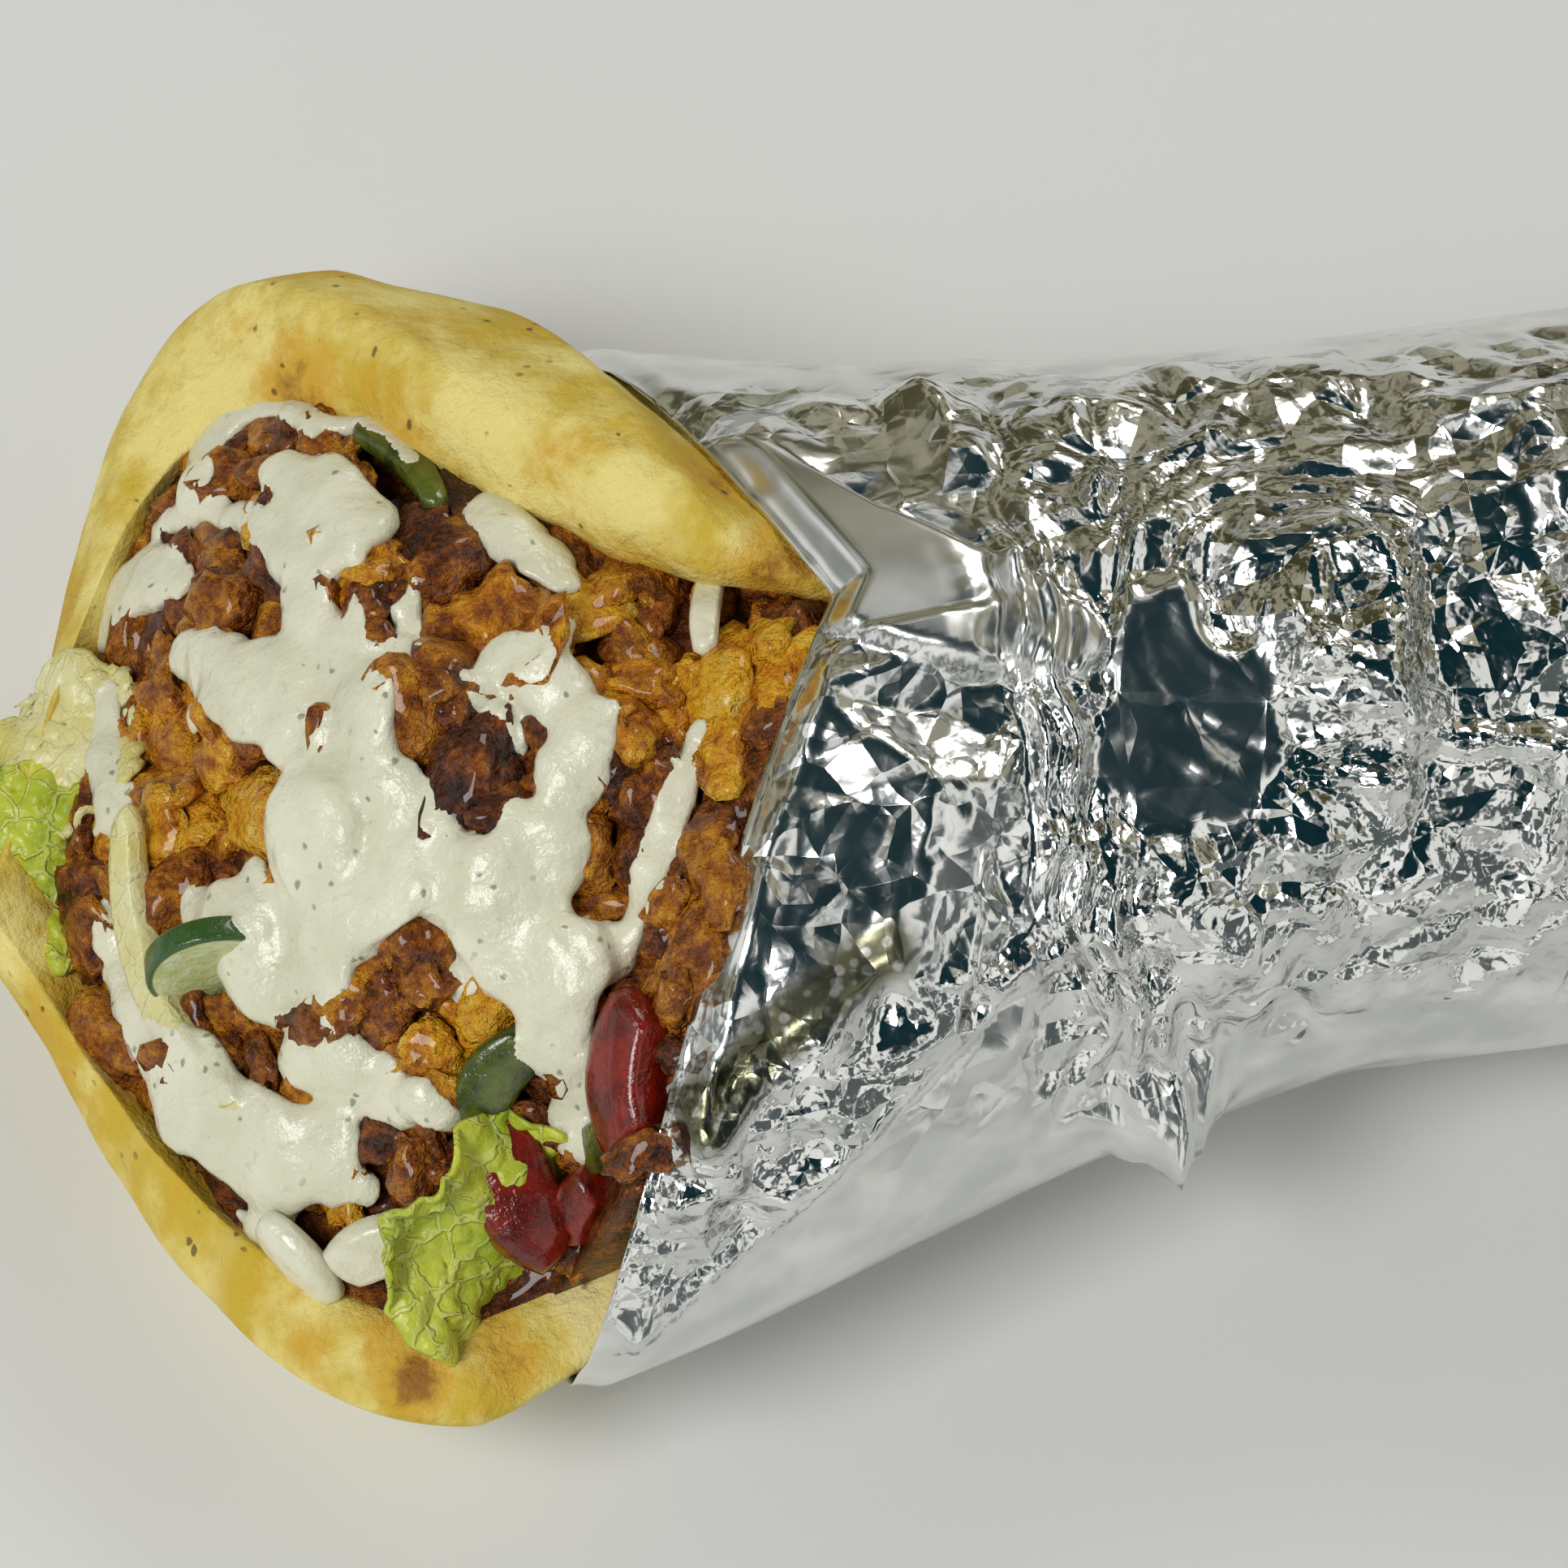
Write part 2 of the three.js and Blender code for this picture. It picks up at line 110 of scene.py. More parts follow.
# %% The sections
MOUTH_LENGTH = 40.0
MOUTH_HALF_WIDTH = 60.5
TUBE_HALF_WIDTH = 36.5
TUBE_HALF_HEIGHT = 32.5
AXIS_HEIGHT = 31.0
FLARE_END = 92.0
TAIL_START, TAIL_END = 125.0, 175.0
LIP_RISE = 15.0
SIDE_SHIFT = 0.41  # the wrap's own line lies this far beside the origin

SHIFT = Vector((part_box("foil")[1].x / MM - TAIL_END, SIDE_SHIFT, 0))
print("station 0 lies at x =", round(SHIFT.x, 2), "mm")


def tail_scale(u):
    return math.sqrt(1 - clamp((u - TAIL_START) / (TAIL_END - TAIL_START)) ** 2.4)


def half_width(u):
    if u < 0:
        return MOUTH_HALF_WIDTH * math.sqrt(max(0, 1 - (u / (MOUTH_LENGTH * 1.1)) ** 2))
    flare = max(0, 1 - u / FLARE_END) ** 1.5
    return (TUBE_HALF_WIDTH + (MOUTH_HALF_WIDTH - TUBE_HALF_WIDTH) * flare) * tail_scale(u)


def sideways(u):
    return 2.2 * smooth((u - 45) / 55) - 2.4 * math.exp(-(((u - 26) / 24) ** 2))


def lip_rise(u):
    return LIP_RISE * (-u / MOUTH_LENGTH) ** 2.2 if u < 0 else 0


def section(u, angle, offset=0.0):
    """The point at station u and that angle, `offset` outside the foil's own line."""
    half_height = TUBE_HALF_HEIGHT * tail_scale(u) + offset
    y = sideways(u) + (half_width(u) + offset) * math.sin(angle)
    z = max(AXIS_HEIGHT - half_height * math.cos(angle), -min(offset, 0))
    return Vector((u, y, z + lip_rise(u)))


# %% [markdown]
# On the far side the bread comes right over the heap as a flap; on the near side it stands up like the side
# of a boat and closes further back.

# %% How far the bread comes round
radians = math.radians


def far_limit(u):
    if u < 0:
        return radians(134 + 1.8 * u)
    return radians(134 + 38 * (1 - (1 - min(u, 50) / 50) ** 1.45))


def near_limit(u):
    return radians(-80 - 85 * smooth(u / 75) - 0.4 * min(u, 0))


def rim_angle(u, across):
    return across * (far_limit(u) if across > 0 else -near_limit(u))


def onto_outline(x, y):
    """Laid flat, the bread is a D: a half disc at the lip and straight sides behind it."""
    if x >= 0:
        return x, y
    return x * math.sqrt(1 - y * y / 2), y * math.sqrt(1 - x * x / 2)


# %% [markdown]
# The foil's mouth edge is a V whose deep point is on top. The heap stands above a line from rim to rim and
# rises under the foil to carry it, so the foil's edge has to be known first.

# %% The foil's edge and the heap's top
APEX_ANGLE = 172.0
EDGE_BELOW, EDGE_APEX = 8.6, 43.0
BREAD_OUTSIDE = -1.5
BREAD_THICKNESS = 6.5
FILLING_OUTSIDE = -9.2
FILLING_COVER = -2.0
FILLING_SHARE = 0.94
BULGE, BULGE_MIDDLE, BULGE_LENGTH = 17, 6, 38


def foil_edge(angle):
    turned = math.degrees(angle)
    turned -= 360 if turned >= APEX_ANGLE else 0
    far_side = turned >= 0
    t = (turned - 20) / (APEX_ANGLE - 20) if far_side else (-turned - 70) / (290 - APEX_ANGLE)
    return mix(EDGE_BELOW, EDGE_APEX, clamp(t) ** (1.7 if far_side else 1.6))


def unevenness(u, y):
    rolling = 0.9 * math.sin(u * 0.41 + y * 0.13) + 0.8 * math.sin(y * 0.37 - u * 0.19 + 1.3)
    return rolling + 0.5 * math.sin(u * 0.83 + 2.1)


def outline_width(x, share):
    return math.sqrt(max(0, share**2 - x * x)) if x < 0 else share


def angle_above(point):
    """The foil's angle straight above a point of the heap."""
    across = (point.y - sideways(point.x)) / (half_width(point.x) + FILLING_COVER)
    return -math.pi - math.asin(clamp(across, -1, 1))


def heap_top(u, w):
    """The heap's top at station u; w runs from -1 at the near rim to 1 at the far one."""
    width = outline_width(u / MOUTH_LENGTH, FILLING_SHARE)
    near = section(u, near_limit(u) * width, FILLING_OUTSIDE)
    far = section(u, far_limit(u) * width, FILLING_OUTSIDE)
    point = near.lerp(far, (w + 1) / 2)
    inside = 1 - w * w
    bulge = BULGE * math.exp(-(((u - BULGE_MIDDLE) / BULGE_LENGTH) ** 2)) * width * inside / FILLING_SHARE
    point.z += 0.8 + bulge + unevenness(u, point.y) * inside * smooth((70 - u) / 30)
    angle = angle_above(point)
    covered = smooth((u - foil_edge(angle)) / 10 + 1) * smooth((80 - u) / 10)
    roof = section(u, angle, FILLING_COVER).z
    point.z += max(0, roof - point.z) * covered * smooth((0.8 - w) / 0.4)
    return point


def seat(u, w, lift=0.0, turns=(0, 0, 0)):
    """The matrix that sets a piece, built round its own middle, on the heap at (u, w)."""
    along = (heap_top(u + 1, w) - heap_top(u - 1, w)).normalized()
    across = (heap_top(u, min(1, w + 0.02)) - heap_top(u, w - 0.02)).normalized()
    up = along.cross(across).normalized()
    slope = Matrix((along, up.cross(along), up)).transposed().to_4x4()
    turned = Euler([radians(turn) for turn in turns]).to_matrix().to_4x4()
    return Matrix.Translation(heap_top(u, w) + up * lift) @ slope @ turned


# %% [markdown]
# ## Making pieces
# A piece starts as a bmesh, in millimetres. A layer such as the bread is a flat grid, extruded once, that a
# function bends into place. Finishing a piece moves it into the frame in metres, gives it its look and ties
# it to the wrap.

# %% Layers and finished pieces
def flat_grid(columns, rows):
    bm = bmesh.new()
    bmesh.ops.create_grid(bm, x_segments=columns, y_segments=rows, size=1)
    return bm


def grid(columns, rows, place):
    """A sheet from -1 to 1 each way whose points place(x, y) moves."""
    bm = flat_grid(columns, rows)
    for vert in bm.verts:
        vert.co = place(vert.co.x, vert.co.y)
    return bm


def slab(columns, rows, place):
    """A closed layer whose points place(x, y, z) moves; z is -1 below and 1 above."""
    bm = flat_grid(columns, rows)
    raised = bmesh.ops.extrude_face_region(bm, geom=bm.faces[:])["geom"]
    upper = {item for item in raised if isinstance(item, bmesh.types.BMVert)}
    for vert in bm.verts:
        vert.co = place(vert.co.x, vert.co.y, 1 if vert in upper else -1)
    return bm


def thicken(bm, thickness):
    """Give an open sheet its back."""
    bmesh.ops.recalc_face_normals(bm, faces=bm.faces)
    bmesh.ops.solidify(bm, geom=bm.faces[:], thickness=thickness)


def object_of(bm, name):
    """A new object in the scene that holds the bmesh."""
    mesh = bpy.data.meshes.new(name)
    bm.to_mesh(mesh)
    bm.free()
    made = bpy.data.objects.new(name, mesh)
    bpy.context.scene.collection.objects.link(made)
    return made


def finish_piece(name, bm, slot, look, replaced=(), turn_out=True):
    """Make the object; without turn_out its faces must look outwards already."""
    if turn_out:
        bmesh.ops.recalc_face_normals(bm, faces=bm.faces)
    bmesh.ops.translate(bm, verts=bm.verts, vec=SHIFT)
    bmesh.ops.scale(bm, verts=bm.verts, vec=(MM, MM, MM))
    bmesh.ops.triangulate(bm, faces=[face for face in bm.faces if len(face.verts) > 4])
    triangles = sum(len(face.verts) - 2 for face in bm.faces)
    made = object_of(bm, name)
    made.data.shade_smooth()
    made.data.materials.append(look)
    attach(made, "root")
    if replaced:
        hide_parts(*replaced)
    print(f"{name}: {triangles} triangles")


# %% [markdown]
# ## Writing materials as formulas
# Most of a material is plain arithmetic. Its nodes could be wired one by one, but a formula is easier to
# read, so the class `Value` wraps an output socket, and `1 - mask` or `stripe * 0.5 + noise` adds the Math
# nodes by itself. Every node is made by one method, `node`.

# %% Shader arithmetic
class Value:
    """An output socket that Python's operators work on."""

    def __init__(self, tree, socket):
        self.tree, self.socket = tree, socket

    def _maths(self, operation, *terms):
        vector = any(isinstance(t, Value) and t.socket.type in ("VECTOR", "RGBA") for t in terms)
        kind = "ShaderNodeVectorMath" if vector else "ShaderNodeMath"
        return self.tree.node(kind, {"operation": operation}, dict(enumerate(terms)))

    def __add__(self, other):
        return self._maths("ADD", self, other)

    def __radd__(self, other):
        return self._maths("ADD", other, self)

    def __sub__(self, other):
        return self._maths("SUBTRACT", self, other)

    def __rsub__(self, other):
        return self._maths("SUBTRACT", other, self)

    def __mul__(self, other):
        return self._maths("MULTIPLY", self, other)

    def __rmul__(self, other):
        return self._maths("MULTIPLY", other, self)

    def step(self, low, high):
        """A smooth step from 0 to 1 while the value goes from low to high."""
        inputs = {"Value": self, "From Min": low, "From Max": high}
        return self.tree.node("ShaderNodeMapRange", {"interpolation_type": "SMOOTHSTEP"}, inputs)

    def ramp(self, *stops):
        """The colour at this value between (position, colour) stops."""
        return self.tree.node("ShaderNodeValToRGB", {"stops": stops}, {"Fac": self})


class Look:
    """A material, or the world, whose nodes are made one expression at a time."""

    def __init__(self, owner, shader, **uniform):
        owner.use_nodes = True
        self.owner, self.nodes, self.links = owner, owner.node_tree.nodes, owner.node_tree.links
        self.shader = self.nodes[shader]
        self.set(**uniform)

    def node(self, kind, settings=None, inputs=None, output=0):
        made = self.nodes.new(kind)
        for name, value in (settings or {}).items():
            if name == "stops":
                elements = made.color_ramp.elements
                while len(elements) < len(value):
                    elements.new(0.5)
                for element, (position, colour) in zip(elements, value):
                    element.position = position
                    element.color = (*colour, 1)
            else:
                setattr(made, name, value)
        for name, value in (inputs or {}).items():
            self.feed(made.inputs[name], value)
        return Value(self, made.outputs[output])

    def feed(self, socket, value):
        if isinstance(value, Value):
            self.links.new(value.socket, socket)
        elif isinstance(value, (int, float)) and socket.type in ("VECTOR", "RGBA"):
            socket.default_value = (value,) * len(socket.default_value)
        elif isinstance(value, tuple) and socket.type == "RGBA":
            socket.default_value = (*value[:3], 1)
        else:
            socket.default_value = value

    def set(self, **inputs):
        for name, value in inputs.items():
            self.feed(self.shader.inputs[name.replace("_", " ")], value)

    @property
    def place(self):
        """The point on the piece, in millimetres."""
        return self.node("ShaderNodeTexCoord", None, None, "Object") * (1 / MM)

    def noise(self, point, size, detail=3.0, roughness=0.5, distortion=0.0):
        """Noise from 0 to 1 whose lumps are about `size` millimetres."""
        inputs = {"Vector": point, "Scale": 1 / size, "Detail": detail}
        inputs |= {"Roughness": roughness, "Distortion": distortion}
        return self.node("ShaderNodeTexNoise", None, inputs, "Fac")

    def cells(self, point, size, output="Distance", feature="F1"):
        inputs = {"Vector": point, "Scale": 1 / size}
        return self.node("ShaderNodeTexVoronoi", {"feature": feature}, inputs, output)

    def attribute(self, name):
        return self.node("ShaderNodeAttribute", {"attribute_name": name}, None, "Fac")

    def blend(self, factor, a, b):
        settings = {"data_type": "RGBA"}
        return self.node("ShaderNodeMix", settings, {0: factor, 6: a, 7: b}, 2)

    def bump(self, height, depth):
        """A bump of `depth` millimetres where the height goes from 0 to 1."""
        return self.node("ShaderNodeBump", None, {"Height": height, "Distance": depth * MM, "Strength": 1.0})


def material(name, **uniform):
    print("finish:", name)
    return Look(bpy.data.materials.new(name), "Principled BSDF", **uniform)


# %% [markdown]
# ## The bread's finish
# Flatbread is cream where it puffed away from the hot plate and golden to brown where it touched. The mesh
# knows where, as the attribute `toast`, and noise breaks up the border. An image could hold the marks too,
# but the attribute needs no unwrapping. Pores and tiny scorched specks give the fine scale.

# %% Bread material
CRUMB_CREAM = (0.90, 0.76, 0.26)
CRUMB_YELLOW = (0.66, 0.46, 0.04)
CRUMB_PALE = (0.93, 0.82, 0.42)
TOAST_GOLD = (0.70, 0.40, 0.030)
TOAST_BROWN = (0.34, 0.14, 0.010)
SCORCH = (0.06, 0.02, 0.003)


def bread_look():
    look = material("baked_flatbread", Specular_IOR_Level=0.35)
    p = look.place
    broad = look.noise(p, 14, 4, 0.6)
    fine = look.noise(p, 2.2, 4, 0.65)
    toast = look.attribute("toast") + (broad - 0.5) * 1.2 + (fine - 0.5) * 0.7
    crumb = look.blend(broad.step(0.36, 0.62), CRUMB_CREAM, CRUMB_YELLOW)
    pale = (look.attribute("toast") * -1 + (broad - 0.5) * 0.3).step(0.05, 0.5)
    crumb = look.blend(pale, crumb, CRUMB_PALE)
    gold = look.blend(toast.step(0.16, 0.62) * 0.9, crumb, TOAST_GOLD)
    brown = look.blend(toast.step(0.6, 0.95), gold, TOAST_BROWN)
    specks = look.cells(p + look.noise(p, 3) * 2.0, 3.1)
    speck = specks.step(0.17, 0.09) * look.noise(p, 9).step(0.42, 0.56)
    colour = look.blend(speck * 0.75, brown, SCORCH)
    look.set(Base_Color=colour, Roughness=0.72 - toast.step(0.3, 0.9) * 0.2)
    pores = look.noise(p, 0.9, 3, 0.7)
    soft = look.noise(p, 5, 2, 0.5)
    look.set(Normal=look.bump(pores * 0.35 + soft, 1.3))
    return look.owner


bread_finish = bread_look()

# %% [markdown]
# ## The foil's finish
# Foil is a mirror: its look comes from its facets and from what stands round it. A bump of plain noise would
# look like hammered metal, because noise is round and foil breaks into planes. The larger facets are in
# the mesh. Sharper and smaller ones are a bump of the same kind: inside each Voronoi cell the height is the
# distance to the cell's border, times a number of its own that lets some cells rise and others sink.
# One band by the turned-back corner has a dotted dark olive reflection painted into its colour.

# %% Foil material
def foil_look():
    look = material("crumpled_foil", Metallic=1.0)
    p = look.place
    warped = p + look.node("ShaderNodeTexNoise", None, {"Vector": p, "Scale": 1 / 9.0}, "Color") * 2.0

    def creases(size):
        to_border = look.cells(warped, size, "Distance", "DISTANCE_TO_EDGE")
        colour = look.cells(warped, size, "Color")
        rise = look.node("ShaderNodeSeparateColor", None, {"Color": colour}, "Red") - 0.5
        return to_border * rise * (2 * size)

    crumpled = look.attribute("crumple")
    fine = (creases(2.8) * 0.32 + look.noise(p, 1.1, 1) * 0.10) * crumpled * crumpled
    height = creases(6.5) * 0.55 * crumpled + fine
    look.set(Normal=look.bump(height, 1.0))
    tint = look.blend(look.noise(p, 6).step(0.35, 0.7), (0.70, 0.71, 0.69), (0.86, 0.86, 0.84))
    # A dotted band by the turned-back corner is painted dark olive: a painted reflection, with a little more
    # roughness.
    painted_reflection_share = look.attribute("emboss")
    painted_reflection_dots = look.cells(p, 1.5).step(0.25, 0.45)
    tint = look.blend(painted_reflection_share * (0.55 + painted_reflection_dots * 0.4), tint, (0.14, 0.135, 0.07))
    look.set(Base_Color=tint, Roughness=0.20 - crumpled * 0.13 + look.noise(p, 4) * 0.08 + painted_reflection_share * 0.15)
    return look.owner


foil_finish = foil_look()

# %% [markdown]
# ## The meat's finish
# Gyro meat is dark and crusty where it met the heat, red-brown where it was marinated, golden where the fat
# browned, and wet all over. Each chunk could have a material of its own, but a number on each, `tone`, which
# noise spreads, does the same with two: no two chunks look alike.

# %% Meat material
def meat_look(name, stops):
    look = material(name, Coat_Weight=0.4, Coat_Roughness=0.05, Specular_IOR_Level=0.3)
    p = look.place
    patches = look.noise(p, 3.2, 3, 0.65)
    fibres = look.noise(p, 0.8, 2, 0.7)
    tone = look.attribute("tone") * 0.72 + patches * 1.25 + fibres * 0.35 - 0.66
    look.set(Base_Color=tone.ramp(*stops), Roughness=0.22 + look.noise(p, 1.6) * 0.35)
    grain = look.noise(p, 1.3, 3, 0.75) * 1.05 + look.cells(p, 1.1) * 0.35
    look.set(Normal=look.bump(grain, 1.4))
    return look.owner


BROWN_STOPS = (
    (0.0, (0.020, 0.005, 0.001)), (0.28, (0.095, 0.020, 0.002)), (0.5, (0.26, 0.066, 0.003)),
    (0.72, (0.50, 0.18, 0.006)), (1.0, (0.74, 0.38, 0.02)),
)
GOLDEN_STOPS = (
    (0.0, (0.07, 0.015, 0.001)), (0.26, (0.34, 0.09, 0.003)), (0.5, (0.62, 0.23, 0.006)),
    (0.76, (0.80, 0.42, 0.012)), (1.0, (0.78, 0.55, 0.12)),
)
brown_meat_finish = meat_look("brown_meat", BROWN_STOPS)
golden_meat_finish = meat_look("golden_meat", GOLDEN_STOPS)

# %% [markdown]
# ## The sauce's finish
# The sauce is strained yoghurt with grated cucumber and herbs: off-white, wet and thick, with grey-green
# flecks and veils. Light that enters it could be traced, but on so thin a layer a thin clear coat does.

# %% Sauce material
def sauce_look():
    look = material("white_sauce", Roughness=0.28, Coat_Weight=0.3, Coat_Roughness=0.1)
    p = look.place
    cloudy = look.noise(p, 8, 3)
    base = look.blend(cloudy.step(0.35, 0.7), (0.72, 0.71, 0.53), (0.82, 0.80, 0.62))
    flecks = look.cells(p + look.noise(p, 1.5) * 1.2, 2.6)
    fleck = flecks.step(0.17, 0.08) * look.noise(p, 6).step(0.38, 0.50)
    veils = look.noise(p, 2.0, 4, 0.6, 1.0).step(0.60, 0.72) * 0.35
    tinted = look.blend(veils, base, (0.48, 0.50, 0.32))
    look.set(Base_Color=look.blend(fleck * 0.7, tinted, (0.12, 0.16, 0.07)))
    curds = look.noise(p, 1.4, 3, 0.6)
    look.set(Normal=look.bump(curds, 0.35))
    return look.owner


sauce_finish = sauce_look()

# %% [markdown]
# ## Finishes of the salad
# The salad is wet too. Leaves get a net of veins from the borders of Voronoi cells; cut pieces are marbled
# from a light to a dark tone under a clear, uneven coat of juice. As they differ only in colour and size of
# grain, one function makes them all, except for the cucumber with its dark skin.

# %% Salad materials
def leaf_look(name, pale, deep, vein, vein_strength):
    look = material(name, Roughness=0.36, Coat_Weight=0.25, Coat_Roughness=0.2)
    p = look.place
    broad = look.noise(p, 7, 3)
    colour = look.blend(broad.step(0.3, 0.72), pale, deep)
    net = look.cells(p + look.noise(p, 3) * 3.0, 3.4, "Distance", "DISTANCE_TO_EDGE")
    veins = net.step(0.09, 0.02)
    look.set(Base_Color=look.blend(veins * vein_strength, colour, vein))
    look.set(Normal=look.bump(veins * vein_strength + look.noise(p, 1.5, 3), 0.5))
    return look.owner


JUICE_DEPTH = 0.3  # how uneven the wet coat is, in millimetres


def wet_look(name, light, dark, size, roughness=0.22):
    look = material(name, Roughness=roughness, Coat_Weight=0.5, Coat_Roughness=0.06)
    p = look.place
    marbled = look.noise(p, size, 4, 0.6, 0.8)
    look.set(Base_Color=look.blend(marbled.step(0.32, 0.68), light, dark))
    look.set(Normal=look.bump(look.noise(p, size * 0.4, 3, 0.6), JUICE_DEPTH))
    return look.owner


def cucumber_look():
    """Pale wet flesh inside a thin dark skin, whose place the mesh knows as `skin`."""
    look = material("sliced_cucumber", Roughness=0.24, Coat_Weight=0.5, Coat_Roughness=0.06)
    p = look.place
    flesh = look.blend(look.noise(p, 2.4, 4).step(0.32, 0.68), (0.66, 0.70, 0.42), (0.48, 0.56, 0.22))
    skin = look.attribute("skin").step(0.35, 0.75)
    look.set(Base_Color=look.blend(skin, flesh, (0.03, 0.09, 0.012)))
    look.set(Normal=look.bump(look.noise(p, 1.0, 3, 0.6), JUICE_DEPTH))
    return look.owner


GREENS = ((0.66, 0.68, 0.06), (0.33, 0.44, 0.012), (0.74, 0.76, 0.25))
PALES = ((0.76, 0.72, 0.38), (0.68, 0.60, 0.16), (0.82, 0.80, 0.55))
SALAD_FINISHES = {
    "green_leaf": leaf_look("green_lettuce", *GREENS, 0.4),
    "pale_leaf": leaf_look("pale_lettuce", *PALES, 0.2),
    "tomato": wet_look("raw_tomato", (0.26, 0.012, 0.003), (0.10, 0.004, 0.001), 3.0),
    "pepper": wet_look("green_pepper", (0.10, 0.13, 0.01), (0.02, 0.035, 0.004), 3.5),
    "onion": wet_look("white_onion", (0.82, 0.80, 0.64), (0.72, 0.70, 0.50), 4.0, 0.3),
    "cucumber": cucumber_look(),
}

# %% [markdown]
# ## The bread
# One thick sheet, bent along the sections. It could be a bare surface with a Solidify modifier, but a real
# flatbread has a fat rounded rim, so both faces are made and drawn together near the rim. Soft noise makes
# the outline wander and the faces puff, and each point learns how toasted it is.

# %% Bread
BREAD_END = 152.0
FINE_UNTIL = 50  # behind this station, under the foil, few rows will do
LIP_ROWS_SHARE, MOUTH_ROWS_SHARE = 0.42, 0.9  # of the rows, in front of stations 0 and 50
RIM_SWELL = 3.4  # how much thicker, outwards, the lip and the far side are
RIM_SWELL_NEAR = 1.0  # and the near side as well
RIM_INWARDS = 3.2  # how much thicker, inwards, the whole mouth is

# Station, place across, 0 outside or 1 inside, radius, strength. A negative strength makes the bread pale.
TOAST_MARKS = [
    (40, 0.99, 0, 9, 1.0), (33, 0.93, 0, 7, 0.6), (20, 0.97, 0, 8, 0.55), (8, 0.9, 0, 8, 0.5),
    (-8, 0.93, 0, 9, 0.65), (-18, 0.8, 0, 7, 0.4), (2, 0.75, 0, 12, 0.5), (24, 0.75, 0, 12, 0.45),
    (-34, -0.42, 0.5, 7, 1.0), (-30, -0.64, 0.4, 6, 1.1), (-24, -0.8, 0.5, 6, 1.0), (-14, -0.94, 0.5, 5, 0.9),
    (-5, -0.99, 0.6, 6, 1.15), (4, -0.99, 0.6, 6, 1.05), (-26, 0.62, 0.6, 8, 0.9), (-17, 0.84, 0.7, 7, 0.8),
    (-24, 0.66, 1, 12, 0.85), (-15, 0.84, 1, 9, 0.8), (-4, 0.95, 1, 10, 0.9), (10, 0.9, 1, 12, 0.9),
    (25, 0.92, 1, 12, 0.9), (-38, 0.0, 1, 8, 0.4), (-35, -0.35, 1, 8, 0.7), (-30, -0.6, 1, 9, 0.85),
    (-24, -0.78, 1, 8, 0.8), (-16, -0.9, 1, 7, 0.6), (-6, -0.97, 1, 7, 0.95), (2, -0.97, 1, 7, 0.95),
    (-20, -0.5, 0, 22, -0.6), (10, -0.7, 0, 22, -0.6), (0, 0.4, 0, 20, -0.3), (-30, 0.3, 0, 16, -0.6),
    (-30, 0.4, 0.5, 9, -0.5), (-36, -0.1, 0.5, 9, -0.5), (-14, 0.7, 0, 9, -0.5), (13, 0.8, 0, 6, -0.4),
]


def laid_out(x, y):
    """A grid point's station, share of the way round, place across and nearness to the rim."""
    row = (x + 1) / 2
    if row < LIP_ROWS_SHARE:
        along = row / LIP_ROWS_SHARE - 1
    elif row < MOUTH_ROWS_SHARE:
        behind = (row - LIP_ROWS_SHARE) / (MOUTH_ROWS_SHARE - LIP_ROWS_SHARE)
        along = behind * FINE_UNTIL / MOUTH_LENGTH
    else:
        behind = (row - MOUTH_ROWS_SHARE) / (1 - MOUTH_ROWS_SHARE)
        along = mix(FINE_UNTIL, BREAD_END, behind) / MOUTH_LENGTH
    across = mix(y, math.sin(y * math.pi / 2), 0.72)
    if along < 0:
        along = mix(along, -math.sin(-along * math.pi / 2), 0.6)
    out_x, out_y = onto_outline(along, across)
    return out_x * MOUTH_LENGTH, out_y, across, max(abs(across), -along)


def bread_point(x, y, z):
    u, share, across, towards_rim = laid_out(x, y)
    angle = rim_angle(u, share)
    middle = section(u, angle, BREAD_OUTSIDE - BREAD_THICKNESS / 2)
    wander = soft_noise(middle, 17, 3.1) * 1.5 + soft_noise(middle, 6, 8.2) * 0.5
    rounding = math.sqrt(1 - (1 - clamp((1 - towards_rim) / 0.055)) ** 2)
    before_foil = smooth((foil_edge(angle) + 1 - u) / 8)
    swell = before_foil * (RIM_SWELL_NEAR + RIM_SWELL * smooth((across + 0.55) / 0.6))
    inwards = RIM_INWARDS * smooth((34 - u) / 30)
    half = (BREAD_THICKNESS + swell + inwards) / 2 * (0.12 + 0.88 * rounding)
    puff = soft_noise(middle, 11, 1.7 + z) * 0.7 + soft_noise(middle, 4.5, 5.3 + z) * 0.22
    grown = 1 + wander * smooth((towards_rim - 0.7) / 0.3) / 60
    offset = BREAD_OUTSIDE - (BREAD_THICKNESS + inwards - swell) / 2 - z * (half + min(0, puff) * rounding)
    if z > 0:
        offset -= max(0, puff) * rounding * smooth((60 - u) / 20) * 0.8
    reach = grown * (1 + swell / MOUTH_LENGTH) if u < 0 else 1
    return section(u * reach, angle * grown, offset)


def toast_at(marks, point):
    levels = [0.0]
    for middle, radius, strength in marks:
        away = (point - middle).length / radius
        levels.append(strength * (1 - smooth(away / 1.3)))
    return max(levels) + min(levels)


def build_bread():
    bm = slab(130, 210, bread_point)
    marks = []
    for u, across, inside, radius, strength in TOAST_MARKS:
        share = across * outline_width(u / MOUTH_LENGTH, 1)
        offset = BREAD_OUTSIDE - inside * BREAD_THICKNESS
        marks.append((section(u, rim_angle(u, share), offset), radius, strength))
    toast = bm.verts.layers.float.new("toast")
    for vert in bm.verts:
        vert[toast] = toast_at(marks, vert.co)
    return bm


finish_piece("flatbread", build_bread(), "bread", bread_finish, ["bread"])

# %% [markdown]
# ## The crumpled foil
# Foil crumples into flat facets with sharp creases. A cloth simulation could crumple a sheet, but not where
# the real one is crumpled and smooth. The distance to the nearest border of a Voronoi cell is
# such a shape: inside the cell it is made of planes, and on the border it is nothing, so cells that rise and
# cells that sink still meet. Three sizes are laid over each other. Smooth stretches are the sides, where the
# sheet is pulled tight, a fold that runs back from the flap, and a flat patch on top.

